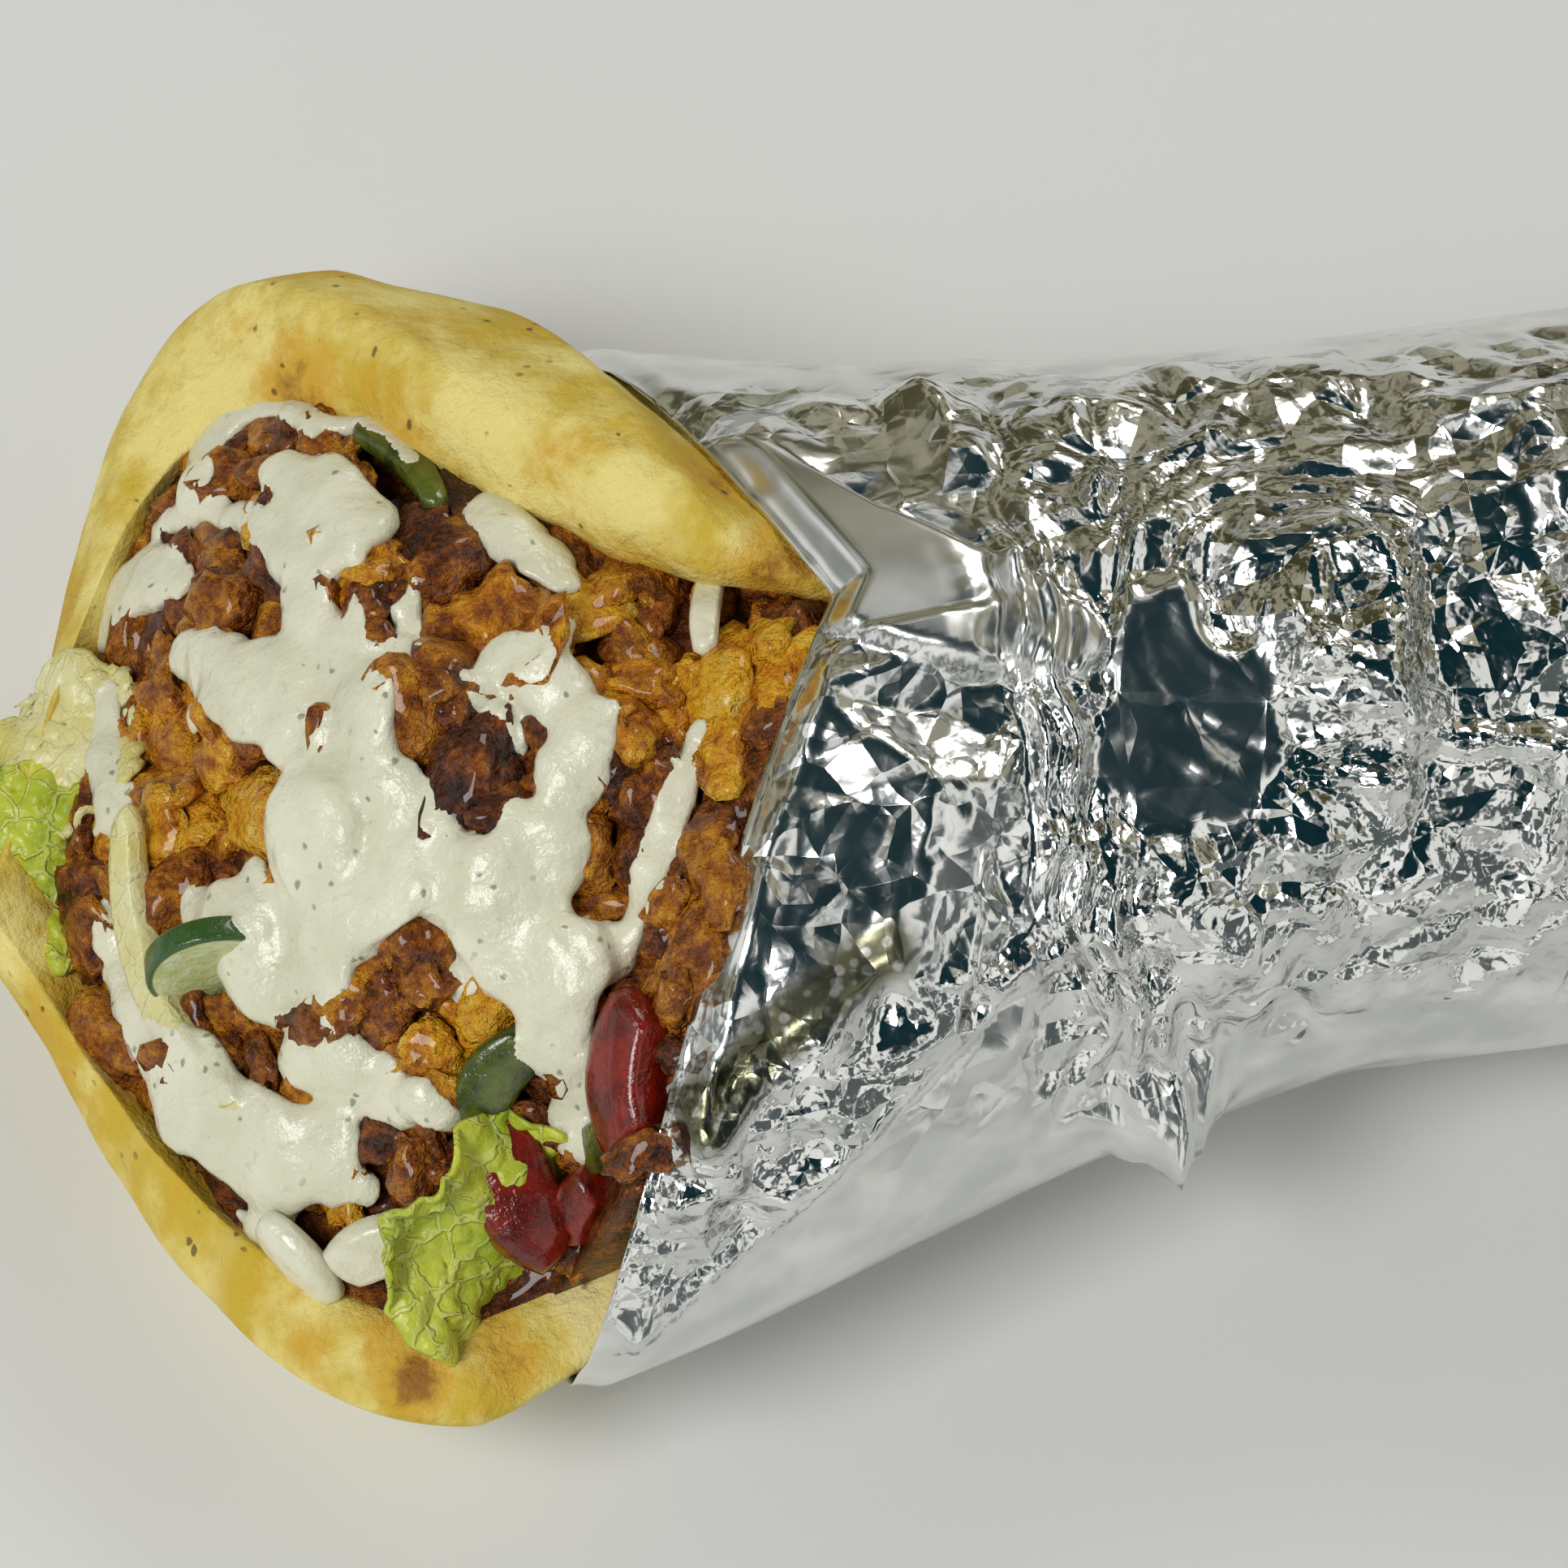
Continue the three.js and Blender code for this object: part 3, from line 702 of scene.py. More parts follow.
# %% Creases
def creased(point, size, seed):
    """A height of flat facets about that large, whose steepest slope is about 1."""
    scaled = point / size + Vector((seed, -seed, seed * 2))
    _, (own, *others) = noise.voronoi(scaled)
    to_border = min((scaled - (own + other) / 2).dot((own - other).normalized()) for other in others)
    rise = noise.cell_vector(own * 53.7).x * 2 - 1
    return to_border * size * rise


def zigzag(value):
    return abs(value % 1 * 2 - 1) * 2 - 1


def beside(point, route):
    """How far the point lies beside a route of points, and how far along it, from 0 to 1."""
    best = (math.inf, 0)
    for i, (start, end) in enumerate(zip(route, route[1:])):
        along = clamp((point - start).dot(end - start) / (end - start).length_squared)
        away = (point - start.lerp(end, along)).length
        best = min(best, (away, (i + along) / (len(route) - 1)))
    return best


# %% [markdown]
# The sheet's features are laid out by station and angle. The gather is a line where the sheet was squeezed
# round the wrap: it runs over the top, down the near side, and ends in a pointed tip.

# %% Where the features lie
def on_foil(*places):
    return [section(station, radians(degrees)) for station, degrees in places]


FOLD_ROUTE = on_foil((33, 149), (38, 158), (44, 168), (51, 175), (58, 181), (64, 186))
GATHER_ROUTE = on_foil((61, -184), (61, -174), (62, -162), (63, -148), (64, -132), (67, -114), (69, -98))
CORNER_FOLD_ROUTE = on_foil((24, -127), (34, -135), (46, -142))
FLAT_PATCH = on_foil((74, -160))[0]
FLAT_FACING = Vector((0.02, -0.30, 0.95)).normalized()
FLAT_RADIUS, FLAT_NARROWNESS = 12.0, 1.5
TIP = on_foil((69.5, -92))[0]
TIP_HEIGHT, TIP_RADIUS = 9.0, 8.5
STREAKS_MIDDLE = on_foil((84, -176))[0]
# Along this route the foil's colour gets a painted dark reflection.
PAINTED_REFLECTION_ROUTE = on_foil((24, -131), (33, -139), (43, -143))
FOLD_RISE, CORNER_RISE, CORNER_ROLL = 1.5, 1.5, 1.3
GATHER_REACH, GATHER_REACH_BELOW = 4.2, 7.0
LARGE, MEDIUM, IN_STREAKS, SMALL = 16, 7.5, 5.0, 3.8  # the facets' sizes
EDGE_TUCK = 0.9  # how far the edge is pressed inwards
DEEPEST, HIGHEST = -1.1, 10.0  # limits of the sheet's offset


def corner_line(u):
    """The angle, in degrees, of the turned-back corner's lower edge."""
    return -97 - 0.87 * (u - 17)


# %% Foil surface
def crumple_share(u, degrees):
    """How crumpled the sheet is, from 0 smooth to 1."""
    if degrees > 0:
        share = mix(0.10, 0.72, smooth((degrees - 120) / 28))
    else:
        share = mix(0.10, 1.0, smooth((-degrees - 90) / 22))
        share *= mix(0.25, 1, max(smooth((corner_line(u) - degrees) / 4), smooth((u - 54) / 6)))
    share = max(share, smooth((u - 128) / 25))
    on_arm = smooth((-134 - degrees) / 6) * (degrees < 0) + smooth((degrees - 140) / 10)
    return share * mix(1.0, mix(0.5, 1.0, smooth((u - 50) / 18)), min(1, on_arm))


def gather_height(u, point, bent, away, down):
    """Folds beside each other along the gather, on a ridge that sinks a little towards the tip."""
    folds = zigzag((u + soft_noise(point, 8, 2.2) * 3.0) / 3.3) + creased(bent, 5, 2.0) * 1.1
    return folds + 1.8 * math.exp(-(((away - 1) / 2.0) ** 2)) - 0.4 * down


def foil_offset(u, angle, edge):
    """How far the foil stands off its own line there, how crumpled it is, and how much painted dark
    reflection it gets.
    """
    point = section(u, angle)
    bent = point + drift(point, 16) * 3
    degrees = math.degrees(angle) if angle < math.pi else math.degrees(angle) - 360
    share = crumple_share(u, degrees)

    from_fold, along = beside(point, FOLD_ROUTE)
    fold_half = 3.0 + 3.2 * math.sin(math.pi * along)
    in_fold = 1 - smooth((from_fold - fold_half) / 1.5)
    from_gather, down = beside(point, GATHER_ROUTE)
    gathered = math.exp(-((from_gather / mix(GATHER_REACH, GATHER_REACH_BELOW, down)) ** 2))
    ragged = bent + drift(point, 6) * 2.5 - FLAT_PATCH
    from_patch = Vector((ragged.x * FLAT_NARROWNESS, ragged.y, ragged.z)).length
    in_patch = 1 - smooth((from_patch - FLAT_RADIUS * 0.85) / (FLAT_RADIUS * 0.25))
    streaks = 1 - smooth((point - STREAKS_MIDDLE).length / 16 - 0.4)
    share *= (1 - in_fold) * (1 - 0.6 * in_patch)

    stretched = Vector((bent.x, bent.y * mix(1, 0.3, streaks), bent.z * mix(1, 0.5, streaks)))
    large = creased(bent, LARGE, 1.0)
    medium = creased(stretched, mix(MEDIUM, IN_STREAKS, streaks), 4.0)
    small = creased(bent, SMALL, 7.0)
    near_side = 1 - smooth((abs(degrees + 128) - 20) / 16)
    crumple = large * 0.95 + medium * 0.8 + small * 0.55 * mix(0.35, 1, near_side)

    fold = FOLD_RISE * in_fold
    flat = clamp((FLAT_PATCH - point).dot(FLAT_FACING), -0.6, 2.6) - 0.2 + medium * 0.18 + small * 0.1
    past_corner = smooth((corner_line(u) - degrees) / 1.4)
    corner = CORNER_RISE * past_corner * (1 - smooth((u - 52) / 8)) * (degrees < 0)
    rolled = CORNER_ROLL * math.exp(-((beside(point, CORNER_FOLD_ROUTE)[0] / 2.0) ** 2))
    tip = TIP_HEIGHT * max(0, 1 - (point - TIP).length / TIP_RADIUS) ** 1.25

    offset = mix(0.7 + crumple * share, gather_height(u, point, bent, from_gather, down), gathered)
    offset = mix(offset, flat, in_patch) + fold + corner + rolled + tip
    calm = smooth((u - edge) / 4)
    # The band along that route gets a painted dark reflection in the foil's colour.
    painted_reflection_share = 1 - smooth(beside(point, PAINTED_REFLECTION_ROUTE)[0] / 2.2 - 0.7)
    offset = mix(0.3 * creased(bent, 6, 3.0) - EDGE_TUCK, offset, calm)
    return clamp(offset, DEEPEST, HIGHEST), share, painted_reflection_share


# %% [markdown]
# The grid runs from the mouth edge to the tail, with more columns on top than underneath. Its seam lies below
# and is merged, the tail's ring of points is drawn to one, and a thin Solidify gives the sheet its back.

# %% Foil
FOIL_COLUMNS, FOIL_ROWS = 232, 204
FOIL_THICKNESS = 0.12


def foil_point(x, y):
    t = (x + 1) / 2
    angle = math.tau * (t + 0.07 * math.sin(math.tau * t))
    edge = foil_edge(angle)
    s = (y + 1) / 2
    u = mix(edge, TAIL_END, 0.8 * s + 0.55 * s**3 - 0.35 * s**7)
    offset, share, painted_reflection_share = foil_offset(u, angle, edge)
    return section(u, angle, offset * tail_scale(u)), share, painted_reflection_share


def build_foil():
    looks = []

    def place(x, y):
        point, *looked = foil_point(x, y)
        looks.append(looked)
        return point

    bm = grid(FOIL_COLUMNS, FOIL_ROWS, place)
    crumple = bm.verts.layers.float.new("crumple")
    # Each point also carries its share of the painted dark reflection.
    emboss = bm.verts.layers.float.new("emboss")
    for vert, (share, painted_reflection_share) in zip(bm.verts, looks):
        vert[crumple], vert[emboss] = share, painted_reflection_share
    bmesh.ops.remove_doubles(bm, verts=bm.verts, dist=0.02)
    thicken(bm, FOIL_THICKNESS)
    return bm


finish_piece("foil_sheet", build_foil(), "foil", foil_finish, ["foil"], turn_out=False)

# %% [markdown]
# ## The core of the heap
# Under the chunks the heap is one rough body, a little lower than the top, so that no gap between two chunks
# shows daylight. It reaches back through the whole wrap, as the filling does. Chunks alone would need
# thousands of pieces that nobody sees.

# %% Core
CORE_DEPTH = 2.6
CORE_MOUTH_ROWS = 0.85  # of the rows, in front of the same station
FILLING_END = 150.0


def core_point(x, y, z):
    row = (x + 1) / 2
    if row < CORE_MOUTH_ROWS:
        station = row / CORE_MOUTH_ROWS * (FINE_UNTIL / MOUTH_LENGTH + 1) - 1
    else:
        behind = (row - CORE_MOUTH_ROWS) / (1 - CORE_MOUTH_ROWS)
        station = mix(FINE_UNTIL, FILLING_END, behind) / MOUTH_LENGTH
    out_x, out_y = (value * FILLING_SHARE for value in onto_outline(station, y))
    along = station if station > 0 else out_x
    u = along * MOUTH_LENGTH
    if z < 0:
        return section(u, rim_angle(u, out_y), FILLING_OUTSIDE)
    w = clamp(out_y / max(1e-6, outline_width(along, FILLING_SHARE)), -1, 1)
    top = heap_top(u, w)
    relief = soft_noise(top, 5, 1.3) * 1.6 + soft_noise(top, 2.1, 4.4) * 0.8
    top.z += (relief - CORE_DEPTH) * smooth((1 - abs(w)) / 0.12)
    return top


def build_core():
    bm = slab(110, 120, core_point)
    tone = bm.verts.layers.float.new("tone")
    for vert in bm.verts:
        vert[tone] = 0.25 + 0.2 * soft_noise(vert.co, 7, 2.0)
    return bm


core_bm = build_core()
surfaces = [BVHTree.FromBMesh(core_bm)]
finish_piece("filling_core", core_bm, "meat", brown_meat_finish, ["filling"])

# %% [markdown]
# ## Salad
# Salad pieces are built round their own middle and set on the heap. A cut piece of pepper, onion or tomato
# is part of a ring: a subdivided cube whose points are rounded off and bent on an arc, because a Solidify
# would leave the edges square where a knife and the dressing have softened them.

# %% Cut pieces
ARC_CUTS = 9
ARC_UNEVENNESS = 0.05


def arc_piece(radius, sweep, width, height, point=0.5):
    """Part of a ring, `sweep` millimetres long, whose ends are the more pointed the larger `point` is."""
    bm = bmesh.new()
    bmesh.ops.create_cube(bm, size=2)
    bmesh.ops.subdivide_edges(bm, edges=bm.edges[:], cuts=ARC_CUTS, use_grid_fill=True)
    for vert in bm.verts:
        x, y, z = vert.co
        x, y, z = (
            x * math.sqrt(1 - y * y * 0.2 - z * z * 0.1),
            y * math.sqrt(1 - z * z * 0.3),
            z * math.sqrt(1 - y * y * 0.3),
        )
        uneven = 1 + ARC_UNEVENNESS * noise.noise(vert.co * 1.7 + Vector((radius, sweep, width)))
        taper = math.sqrt(max(0.02, 1 - point * x * x)) * uneven
        angle = x * sweep / 2 / radius
        ring = radius + y * width / 2 * taper
        vert.co = (ring * math.sin(angle), ring * math.cos(angle) - radius, z * height / 2 * taper)
    return bm


# %% [markdown]
# A leaf is a thin sheet with a wandering outline. It ruffles more towards its edge, which grew longer than
# the middle, so the height of its waves grows outwards.

# %% Leaves
def leaf(length, width, thickness, ruffle, seed):
    def place(x, y):
        out = Vector((x * math.sqrt(1 - y * y / 2.2), y * math.sqrt(1 - x * x / 2.2), seed))
        far = out.xy.length
        notch = 1 + 0.14 * noise.noise(out * 2.4) + 0.07 * noise.noise(out * 6.5)
        wave = math.sin(out.x * 5.1 + out.y * 1.7) + 0.7 * math.sin(out.y * 6.3 - out.x * 2.2 + 1)
        frill = noise.noise(out * 5.0) * 1.3 * far**2 + 0.35 * noise.noise(out * 9)
        z = ruffle * (wave * (0.35 + 0.65 * far * far) + frill)
        return Vector((out.x * length / 2 * notch, out.y * width / 2 * notch, z))

    bm = grid(56, 50, place)
    thicken(bm, thickness)
    return bm


def disc(radius, height):
    """A slice with rounded edges."""
    bm = bmesh.new()
    bmesh.ops.create_cone(bm, cap_ends=True, segments=48, radius1=radius, radius2=radius, depth=height)
    rims = [edge for edge in bm.edges if len(edge.link_faces[0].verts) != len(edge.link_faces[1].verts)]
    settings = {"offset": 0.35, "segments": 3, "profile": 0.5, "affect": "EDGES", "material": -1}
    bmesh.ops.bevel(bm, geom=rims, **settings)
    bmesh.ops.inset_individual(bm, faces=[face for face in bm.faces if len(face.verts) > 4], thickness=0.7)
    skin = bm.verts.layers.float.new("skin")
    for vert in bm.verts:
        vert[skin] = smooth((vert.co.xy.length - radius + 0.9) / 0.6)
    return bm


# %% Set the salad on the heap
SALAD = [  # name, slot, shape, station, place across, lift, turns
    ("tomato_wedge", "tomato", arc_piece(11, 15, 9, 7), 6, -0.79, 0.6, (15, 10, 100)),
    ("tomato_chunk", "tomato", arc_piece(12, 15, 8, 7, 0.4), 18.5, -0.68, 0.2, (20, -10, 60)),
    ("tomato_dice", "tomato", arc_piece(9, 8, 5, 4.5, 0.3), 12.5, -0.87, 0.4, (30, 0, 20)),
    ("lettuce_front", "green_leaf", leaf(23, 24, 0.5, 1.7, 1), 3.5, -0.86, 1.4, (25, 10, 20)),
    ("lettuce_lip", "green_leaf", leaf(21, 23, 0.5, 1.8, 5), -35.5, 0.55, 2.6, (5, -28, 15)),
    ("iceberg_leaf", "pale_leaf", leaf(18, 19, 0.7, 1.1, 9), -31, 0.72, 1.8, (15, -25, 70)),
    ("iceberg_rib", "pale_leaf", arc_piece(26, 36, 4.2, 3.6, 0.6), -25.5, -0.42, 1, (5, -8, 112)),
    ("cucumber_slice", "cucumber", disc(7, 2.6), -19.5, -0.36, 0.6, (65, 20, 20)),
    ("pepper_piece", "pepper", arc_piece(10, 11, 6, 2.6, 0.4), 5.5, -0.58, 0.9, (10, 0, 40)),
    ("pepper_slice", "pepper", arc_piece(12, 10, 5, 2.4, 0.4), 15.5, -0.8, 0.5, (20, 0, -20)),
    ("pepper_strip", "pepper", arc_piece(20, 16, 3.4, 2.4), 5, 0.88, 1, (-10, 0, -20)),
    ("onion_piece", "onion", arc_piece(12, 10.5, 6, 3), -14.5, -0.93, 1.2, (30, 10, -30)),
    ("onion_chunk", "onion", arc_piece(10, 10, 6.5, 3.4), -7, -0.86, 0.9, (20, 10, 30)),
    ("onion_strip", "onion", arc_piece(30, 12, 3, 2), 31, 0.7, 1, (-15, 0, 95)),
]
SALAD_PLACES = [(u, w) for _, _, _, u, w, _, _ in SALAD]

for name, slot, bm, u, w, lift, turns in SALAD:
    bmesh.ops.transform(bm, matrix=seat(u, w, lift, turns), verts=bm.verts)
    surfaces.append(BVHTree.FromBMesh(bm))
    finish_piece("fresh_" + name, bm, slot, SALAD_FINISHES[slot], [name])

# %% [markdown]
# ## Chunks of meat
# Shaved meat lies in flat, ragged, curled pieces. Each is a ball of 320 triangles, pushed in and out by noise
# at three sizes, creased where two Voronoi cells meet, flattened, bent and laid on the heap at random. They
# could be instances of a few, but then the eye finds the repeats. Brown and golden pieces are two objects,
# each one joined mesh.

# %% Meat
CHUNKS = 280  # at most: the heap may be full before
MOST_TRIES = 6000
CHUNK_SIZES = (2.2, 5.0)
CLOSENESS = 0.62  # of both sizes together, how near two chunks may come
SALAD_CLEARANCE = 2.6
GOLD_PLACES = [  # station, place across, radius
    (14, 0.5, 7), (-22, 0.25, 8), (-17, -0.02, 7), (30, 0.4, 8), (4, -0.38, 5), (-2, 0.52, 4),
    (6, -0.5, 7), (-10, 0.62, 3), (24, 0.35, 6), (-26, 0.1, 6), (-10, -0.8, 4),
]
DARK_PLACES = [(4, 0.7, 9), (8, 0.85, 8), (8, 0.1, 6), (22, 0.0, 6), (-14, 0.6, 5), (16, 0.55, 4)]


def nearness(places, point):
    return max(1 - (point - heap_top(u, w)).length / radius for u, w, radius in places)


def lies_free(u, w, point, size):
    """Whether meat may lie there: not under the foil, not on the rim and not on a piece of salad."""
    if u > foil_edge(angle_above(point)) - 1 or (u < 4 and w < -0.82):
        return False
    return all((point - heap_top(*place)).length > size + SALAD_CLEARANCE for place in SALAD_PLACES)


def add_chunk(bm, tone_layer, matrix, size, tone, chance):
    seed = Vector([chance.uniform(-50, 50) for _ in range(3)])
    bend = chance.uniform(-0.35, 0.35)
    stretch = chance.uniform(0.7, 1.3)
    verts = bmesh.ops.create_icosphere(bm, subdivisions=3, radius=1)["verts"]
    for vert in verts:
        p = vert.co + seed
        distances, _ = noise.voronoi(p * 1.5)
        crease = smooth((distances[1] - distances[0]) / 0.25)
        lumps = 0.40 * noise.noise(p * 1.1 * stretch) + 0.20 * noise.noise(p * 2.6)
        lumps += 0.12 * noise.noise(p * 5.5)
        vert.co *= 0.86 + lumps + 0.16 * crease
        vert.co.z += bend * vert.co.x**2
        vert[tone_layer] = tone + 0.25 * (crease - 0.8) + 0.5 * lumps
    length = size * chance.uniform(1.15, 1.75)
    shape = Matrix.Diagonal((length, size, size * chance.uniform(0.45, 0.75), 1))
    bmesh.ops.transform(bm, matrix=matrix @ shape, verts=verts)


def build_meat():
    chance = random.Random(7)
    kinds = {"brown": bmesh.new(), "golden": bmesh.new()}
    tones = {name: bm.verts.layers.float.new("tone") for name, bm in kinds.items()}
    laid = []
    tries = 0
    while len(laid) < CHUNKS and tries < MOST_TRIES:
        tries += 1
        u, w = chance.uniform(-33, 50), chance.uniform(-0.94, 0.95)
        point = heap_top(u, w)
        size = chance.uniform(*CHUNK_SIZES)
        crowded = any((point - other).length < CLOSENESS * (size + its_size) for other, its_size in laid)
        if crowded or not lies_free(u, w, point, size):
            continue
        laid.append((point, size))
        golden = nearness(GOLD_PLACES, point) + chance.uniform(-0.35, 0.25) > 0
        dark = max(0, nearness(DARK_PLACES, point))
        turns = (chance.gauss(0, 16), chance.gauss(0, 16), chance.uniform(0, 360))
        matrix = seat(u, w, -0.35 * size + chance.uniform(-0.4, 0.9), turns)
        kind = "golden" if golden else "brown"
        tone = chance.uniform(0.3, 0.85) - 0.5 * dark
        add_chunk(kinds[kind], tones[kind], matrix, size, tone, chance)
    print(len(laid), "chunks of meat after", tries, "tries")
    return kinds


meat = build_meat()
surfaces += [BVHTree.FromBMesh(bm) for bm in meat.values()]
finish_piece("meat_brown", meat["brown"], "meat", brown_meat_finish, turn_out=False)
finish_piece("meat_golden", meat["golden"], "meat", golden_meat_finish, turn_out=False)

# %% [markdown]
# ## The white sauce
# Thick sauce lies in round-edged ribbons that flow into each other and run down over the chunks. Each ribbon
# is a row of flat drops along a route over the heap. Metaballs could melt the drops together, but a voxel
# remesh gives one skin of even faces, which is smoothed and then draped over what pokes up under it.

# %% Routes of the sauce
SAUCE_RIBBONS = [  # each one a row of (station, place across, half width) points
    [(-17, 0.78, 2.1), (-15, 0.93, 2.5), (-10, 0.99, 2.1), (-6, 0.96, 1.7), (-4, 0.9, 1.6)],
    [(-8, 0.74, 2.1), (-4, 0.7, 3.0), (0, 0.62, 3.0), (-5, 0.5, 3.2), (-10, 0.58, 2.4)],
    [(-3, 0.9, 1.0), (1, 0.97, 1.5), (4, 0.95, 1.5), (5, 0.88, 1.1)],
    [(-27, 0.95, 2.6), (-22, 0.76, 3.4), (-19, 0.62, 2.0)],
    [(-21, 0.88, 1.1), (-16, 0.75, 1.2), (-12, 0.66, 1.6), (-9, 0.5, 1.5)],
    [(-7, 0.42, 2.1), (-6, 0.3, 3.2), (-3, 0.24, 2.7)],
    [(-2, 0.42, 0.6), (-2, 0.3, 1.6)],
    [(4, 0.5, 0.6), (2, 0.3, 2.1)],
    [(-19, 0.4, 2.2), (-14, 0.22, 3.8), (-7, 0.15, 5.0), (-2, 0.14, 4.0), (-5, 0.0, 5.6)],
    [(-9, -0.14, 4.8), (-3, -0.2, 5.0), (-9, -0.3, 4.6)],
    [(-21, -0.2, 1.8), (-17, -0.3, 4.0), (-15, -0.4, 3.5), (-9, -0.4, 3.3)],
    [(0, 0.0, 2.7), (2, -0.15, 3.7), (5, -0.25, 3.2)],
    [(-27, -0.6, 3.0), (-23, -0.73, 4.6), (-16, -0.77, 4.4), (-11, -0.7, 3.4)],
    [(-12, -0.55, 2.7), (-8, -0.55, 2.7), (-4, -0.6, 2.4), (1, -0.65, 1.4)],
    [(12, 0.15, 1.0), (10, 0.26, 2.1), (12, 0.36, 2.4), (16, 0.3, 2.9), (18, 0.18, 2.9), (16, 0.03, 2.9)],
    [(14, -0.1, 3.3), (10, -0.2, 4.3), (8, -0.3, 4.6), (13, -0.4, 4.0), (17.5, -0.36, 2.4)],
    [(12, -0.48, 3.4), (11, -0.55, 3.0), (14, -0.6, 2.4)],
    [(12.5, -0.63, 1.6), (12.5, -0.71, 2.7), (13, -0.76, 2.0)],
    [(29, 0.25, 1.0), (27, 0.12, 1.3), (24, -0.1, 1.9), (22, -0.21, 1.9), (20.5, -0.3, 1.1),
     (18.5, -0.4, 0.6)],
    [(15, 0.97, 1.0), (12, 0.82, 2.6), (16, 0.75, 3.0), (18, 0.68, 1.9)],
    [(17, 0.45, 1.1), (18, 0.5, 0.8)],
    [(-28, 0.7, 1.6), (-29, 0.5, 1.9), (-28.5, 0.25, 1.8), (-27, 0.03, 1.5)],
    [(-30, -0.15, 1.3), (-29.5, -0.35, 1.9), (-28.5, -0.52, 2.2)],
    [(-17, -0.88, 2.3), (-19, -0.93, 1.3)],
]
DROP_SPACING = 1.1
SAUCE_BREADTH = 1.32  # the skin comes out narrower than the drops
DROP_HEIGHT = 0.40  # of its half width
TONGUES = 0.30  # the share of drops with a small tongue beside them
VOXEL = 0.55
CLOSED_OVER = 1.3  # the skin covers what sticks out by less
SKIN_ABOVE = 0.12  # and then lies that far above it
print(len(SAUCE_RIBBONS), "ribbons of sauce")


# %% Drops along the routes
def highest_at(point):
    """The highest surface of the food below or above that point."""
    start = Vector((point.x, point.y, 120))
    hits = [tree.ray_cast(start, Vector((0, 0, -1)))[0] for tree in surfaces]
    return max([hit.z for hit in hits if hit], default=point.z)


def along_route(route):
    """Evenly spaced (station, place across, half width) samples on the route."""
    for (u, w, half), (next_u, next_w, next_half) in zip(route, route[1:]):
        span = (heap_top(next_u, next_w) - heap_top(u, w)).length
        steps = max(1, round(span / DROP_SPACING))
        for i in range(steps + 1):
            t = i / steps
            yield mix(u, next_u, t), mix(w, next_w, t), mix(half, next_half, t) * SAUCE_BREADTH


def add_drop(bm, u, w, half, chance):
    matrix = seat(u, clamp(w, -0.97, 0.97))
    height = clamp(half * DROP_HEIGHT, 0.8, 2.0)
    middle = matrix.translation
    lifted = clamp(highest_at(middle) - middle.z, -0.8, 1.6) * 0.75
    matrix = Matrix.Translation((0, 0, lifted + height * 0.15)) @ matrix
    drop = bmesh.ops.create_icosphere(bm, subdivisions=2, radius=1)["verts"]
    shape = Matrix.Diagonal((half, half * chance.uniform(0.9, 1.1), height, 1))
    bmesh.ops.transform(bm, matrix=matrix @ shape, verts=drop)


def build_drops():
    chance = random.Random(11)
    bm = bmesh.new()
    for route in SAUCE_RIBBONS:
        for u, w, half in along_route(route):
            add_drop(bm, u, w, half * chance.uniform(0.88, 1.06), chance)
            if chance.random() < TONGUES:
                turn, reach = chance.uniform(0, math.tau), half * chance.uniform(0.75, 1.05)
                side_u, side_w = u + reach * math.cos(turn), w + reach * math.sin(turn) / 48
                add_drop(bm, side_u, side_w, half * chance.uniform(0.3, 0.5), chance)
    return bm


# %% Melt the drops into one skin
def melted(bm):
    """One closed skin round everything in the bmesh."""
    source = object_of(bm, "drops")
    modifier = source.modifiers.new("melt", "REMESH")
    modifier.mode, modifier.voxel_size = "VOXEL", VOXEL
    done = source.evaluated_get(bpy.context.evaluated_depsgraph_get())
    bm = bmesh.new()
    bm.from_mesh(bpy.data.meshes.new_from_object(done))
    bpy.data.objects.remove(source)
    return bm


def soften(bm, times):
    axes = {"use_axis_x": True, "use_axis_y": True, "use_axis_z": True}
    for _ in range(times):
        bmesh.ops.smooth_vert(bm, verts=bm.verts, factor=0.5, **axes)


def drape(bm):
    """Soft waves in the skin, which then closes over low chunks and lets the high ones poke through."""
    soften(bm, 4)
    bm.normal_update()
    for vert in bm.verts:
        wave = soft_noise(vert.co, 4.2, 6.0) * 0.55 + soft_noise(vert.co, 1.9, 9.0) * 0.2
        vert.co += vert.normal * wave
    for vert in bm.verts:
        if vert.normal.z > 0.35:
            above = highest_at(vert.co) - vert.co.z
            if -0.1 < above < CLOSED_OVER:
                vert.co.z += above + SKIN_ABOVE
    soften(bm, 2)


sauce_bm = melted(build_drops())
drape(sauce_bm)
finish_piece("sauce_ribbons", sauce_bm, "sauce", sauce_finish, ["sauce", "sauce_dollop_1"])

# %% [markdown]
# ## Floor, light and camera
# Foil shows whatever stands round it: a pale table, white all round with patches of teal, teal overhead, and
# mottled olive behind. Two soft lamps add the highlights. The camera looks down on the open mouth with a
# long lens.

# %% Floor
def build_floor():
    look = material("pale_table", Base_Color=(0.80, 0.80, 0.78), Roughness=0.6)
    bm = bmesh.new()
    bmesh.ops.create_grid(bm, x_segments=1, y_segments=1, size=4)
    floor = object_of(bm, "table")
    floor.data.materials.append(look.owner)
    floor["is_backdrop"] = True


build_floor()

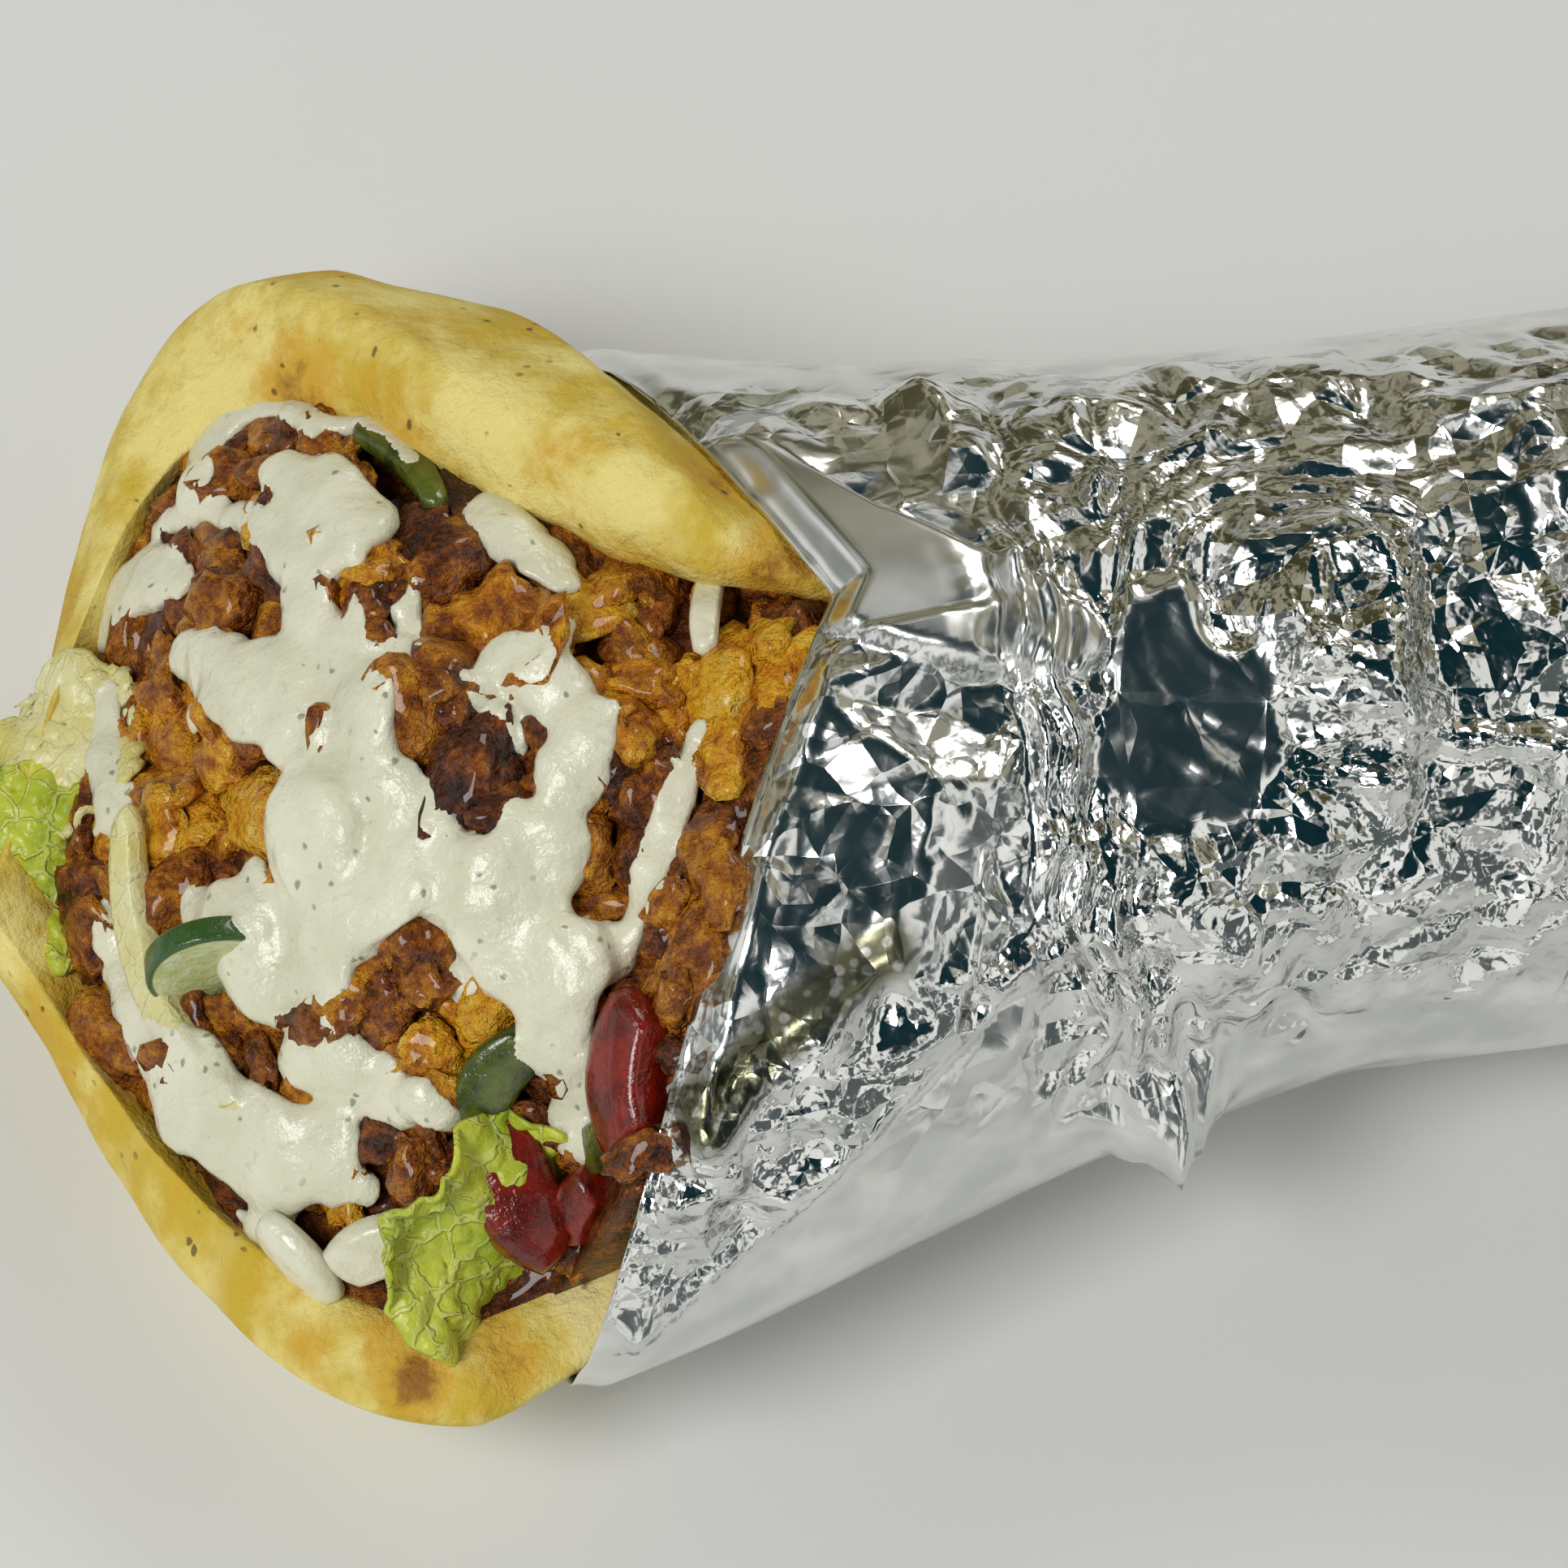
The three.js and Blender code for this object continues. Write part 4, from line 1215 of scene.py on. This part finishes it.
# %% World
def build_world():
    world = bpy.data.worlds.new("studio")
    bpy.context.scene.world = world
    look = Look(world, "Background")
    direction = look.node("ShaderNodeTexCoord", None, None, "Generated")
    x, y, z = (look.node("ShaderNodeSeparateXYZ", None, {"Vector": direction}, axis) for axis in "XYZ")
    white, teal = (0.92, 0.92, 0.89), (0.003, 0.024, 0.032)
    mottled = look.noise(direction, 0.3, 2).step(0.46, 0.54)
    olive = look.blend(mottled, (0.36, 0.34, 0.25), (0.06, 0.055, 0.022))
    patchy = look.noise(direction, 0.45, 2)
    behind = (y + x * 0.2).step(0.20, 0.40) * z.step(0.86, 0.76)
    above = (z - y * 0.10).step(0.79, 0.87)
    side = patchy.step(0.50, 0.54) * z.step(0.04, 0.12)
    colour = look.blend(side * 0.9, white, teal)
    colour = look.blend(behind, colour, olive)
    colour = look.blend(above, colour, teal)
    camera_ray = look.node("ShaderNodeLightPath", None, None, "Is Camera Ray")
    look.set(Color=look.blend(camera_ray, colour, (0.75, 0.75, 0.74)))
    print("surroundings:", len(look.nodes), "nodes")


build_world()

# %% Lights
def add_light(name, place, size, power):
    lamp = bpy.data.lights.new(name, "AREA")
    lamp.size, lamp.energy = size, power
    made = bpy.data.objects.new(name, lamp)
    made.location = place
    made.rotation_euler = Vector(place).to_track_quat("Z", "Y").to_euler()
    bpy.context.scene.collection.objects.link(made)
    print(f"lamp {name}: {power} W")


add_light("key", (-0.45, -0.25, 0.75), 0.30, 3.6)
add_light("rim", (0.35, 0.55, 0.6), 0.25, 1.6)

# %% Camera
AZIMUTH, ELEVATION = radians(-8), radians(64)
LENS, SENSOR = 135.0, 36.0
FRAME_WIDTH = 154.6  # millimetres across the picture at the mouth
AIM_HEIGHT, AIM_RIGHT, AIM_UP = 32, 37.3, 5.1  # from the wrap's station 0 to the picture's middle

right = Vector((math.cos(AZIMUTH), math.sin(AZIMUTH), 0))
towards = Vector((
    math.sin(AZIMUTH) * math.cos(ELEVATION),
    -math.cos(AZIMUTH) * math.cos(ELEVATION),
    math.sin(ELEVATION),
))
up = towards.cross(right)
aim = SHIFT + Vector((0, 0, AIM_HEIGHT)) + right * AIM_RIGHT + up * AIM_UP
camera_data = bpy.data.cameras.new("camera")
camera_data.lens, camera_data.sensor_width = LENS, SENSOR
camera_data.clip_start = 0.01
camera = bpy.data.objects.new("camera", camera_data)
distance = FRAME_WIDTH * LENS / SENSOR
turn = Matrix((right, up, towards)).transposed().to_4x4()
camera.matrix_world = Matrix.Translation((aim + towards * distance) * MM) @ turn
bpy.context.scene.collection.objects.link(camera)
bpy.context.scene.camera = camera
bpy.context.scene.view_settings.view_transform = "Standard"
print("camera", round(distance), "mm from the picture's middle")

# %% [markdown]
# ## How far the looks reach
# The frame's box is printed at the start, and here how far the finished pieces reach beyond it.

# %% Sizes and finish
visual_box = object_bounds()
for cad_corner, visual_corner in zip(cad_box, visual_box):
    print("beyond the CAD box, mm:", [round(v / MM, 1) for v in visual_corner - cad_corner])
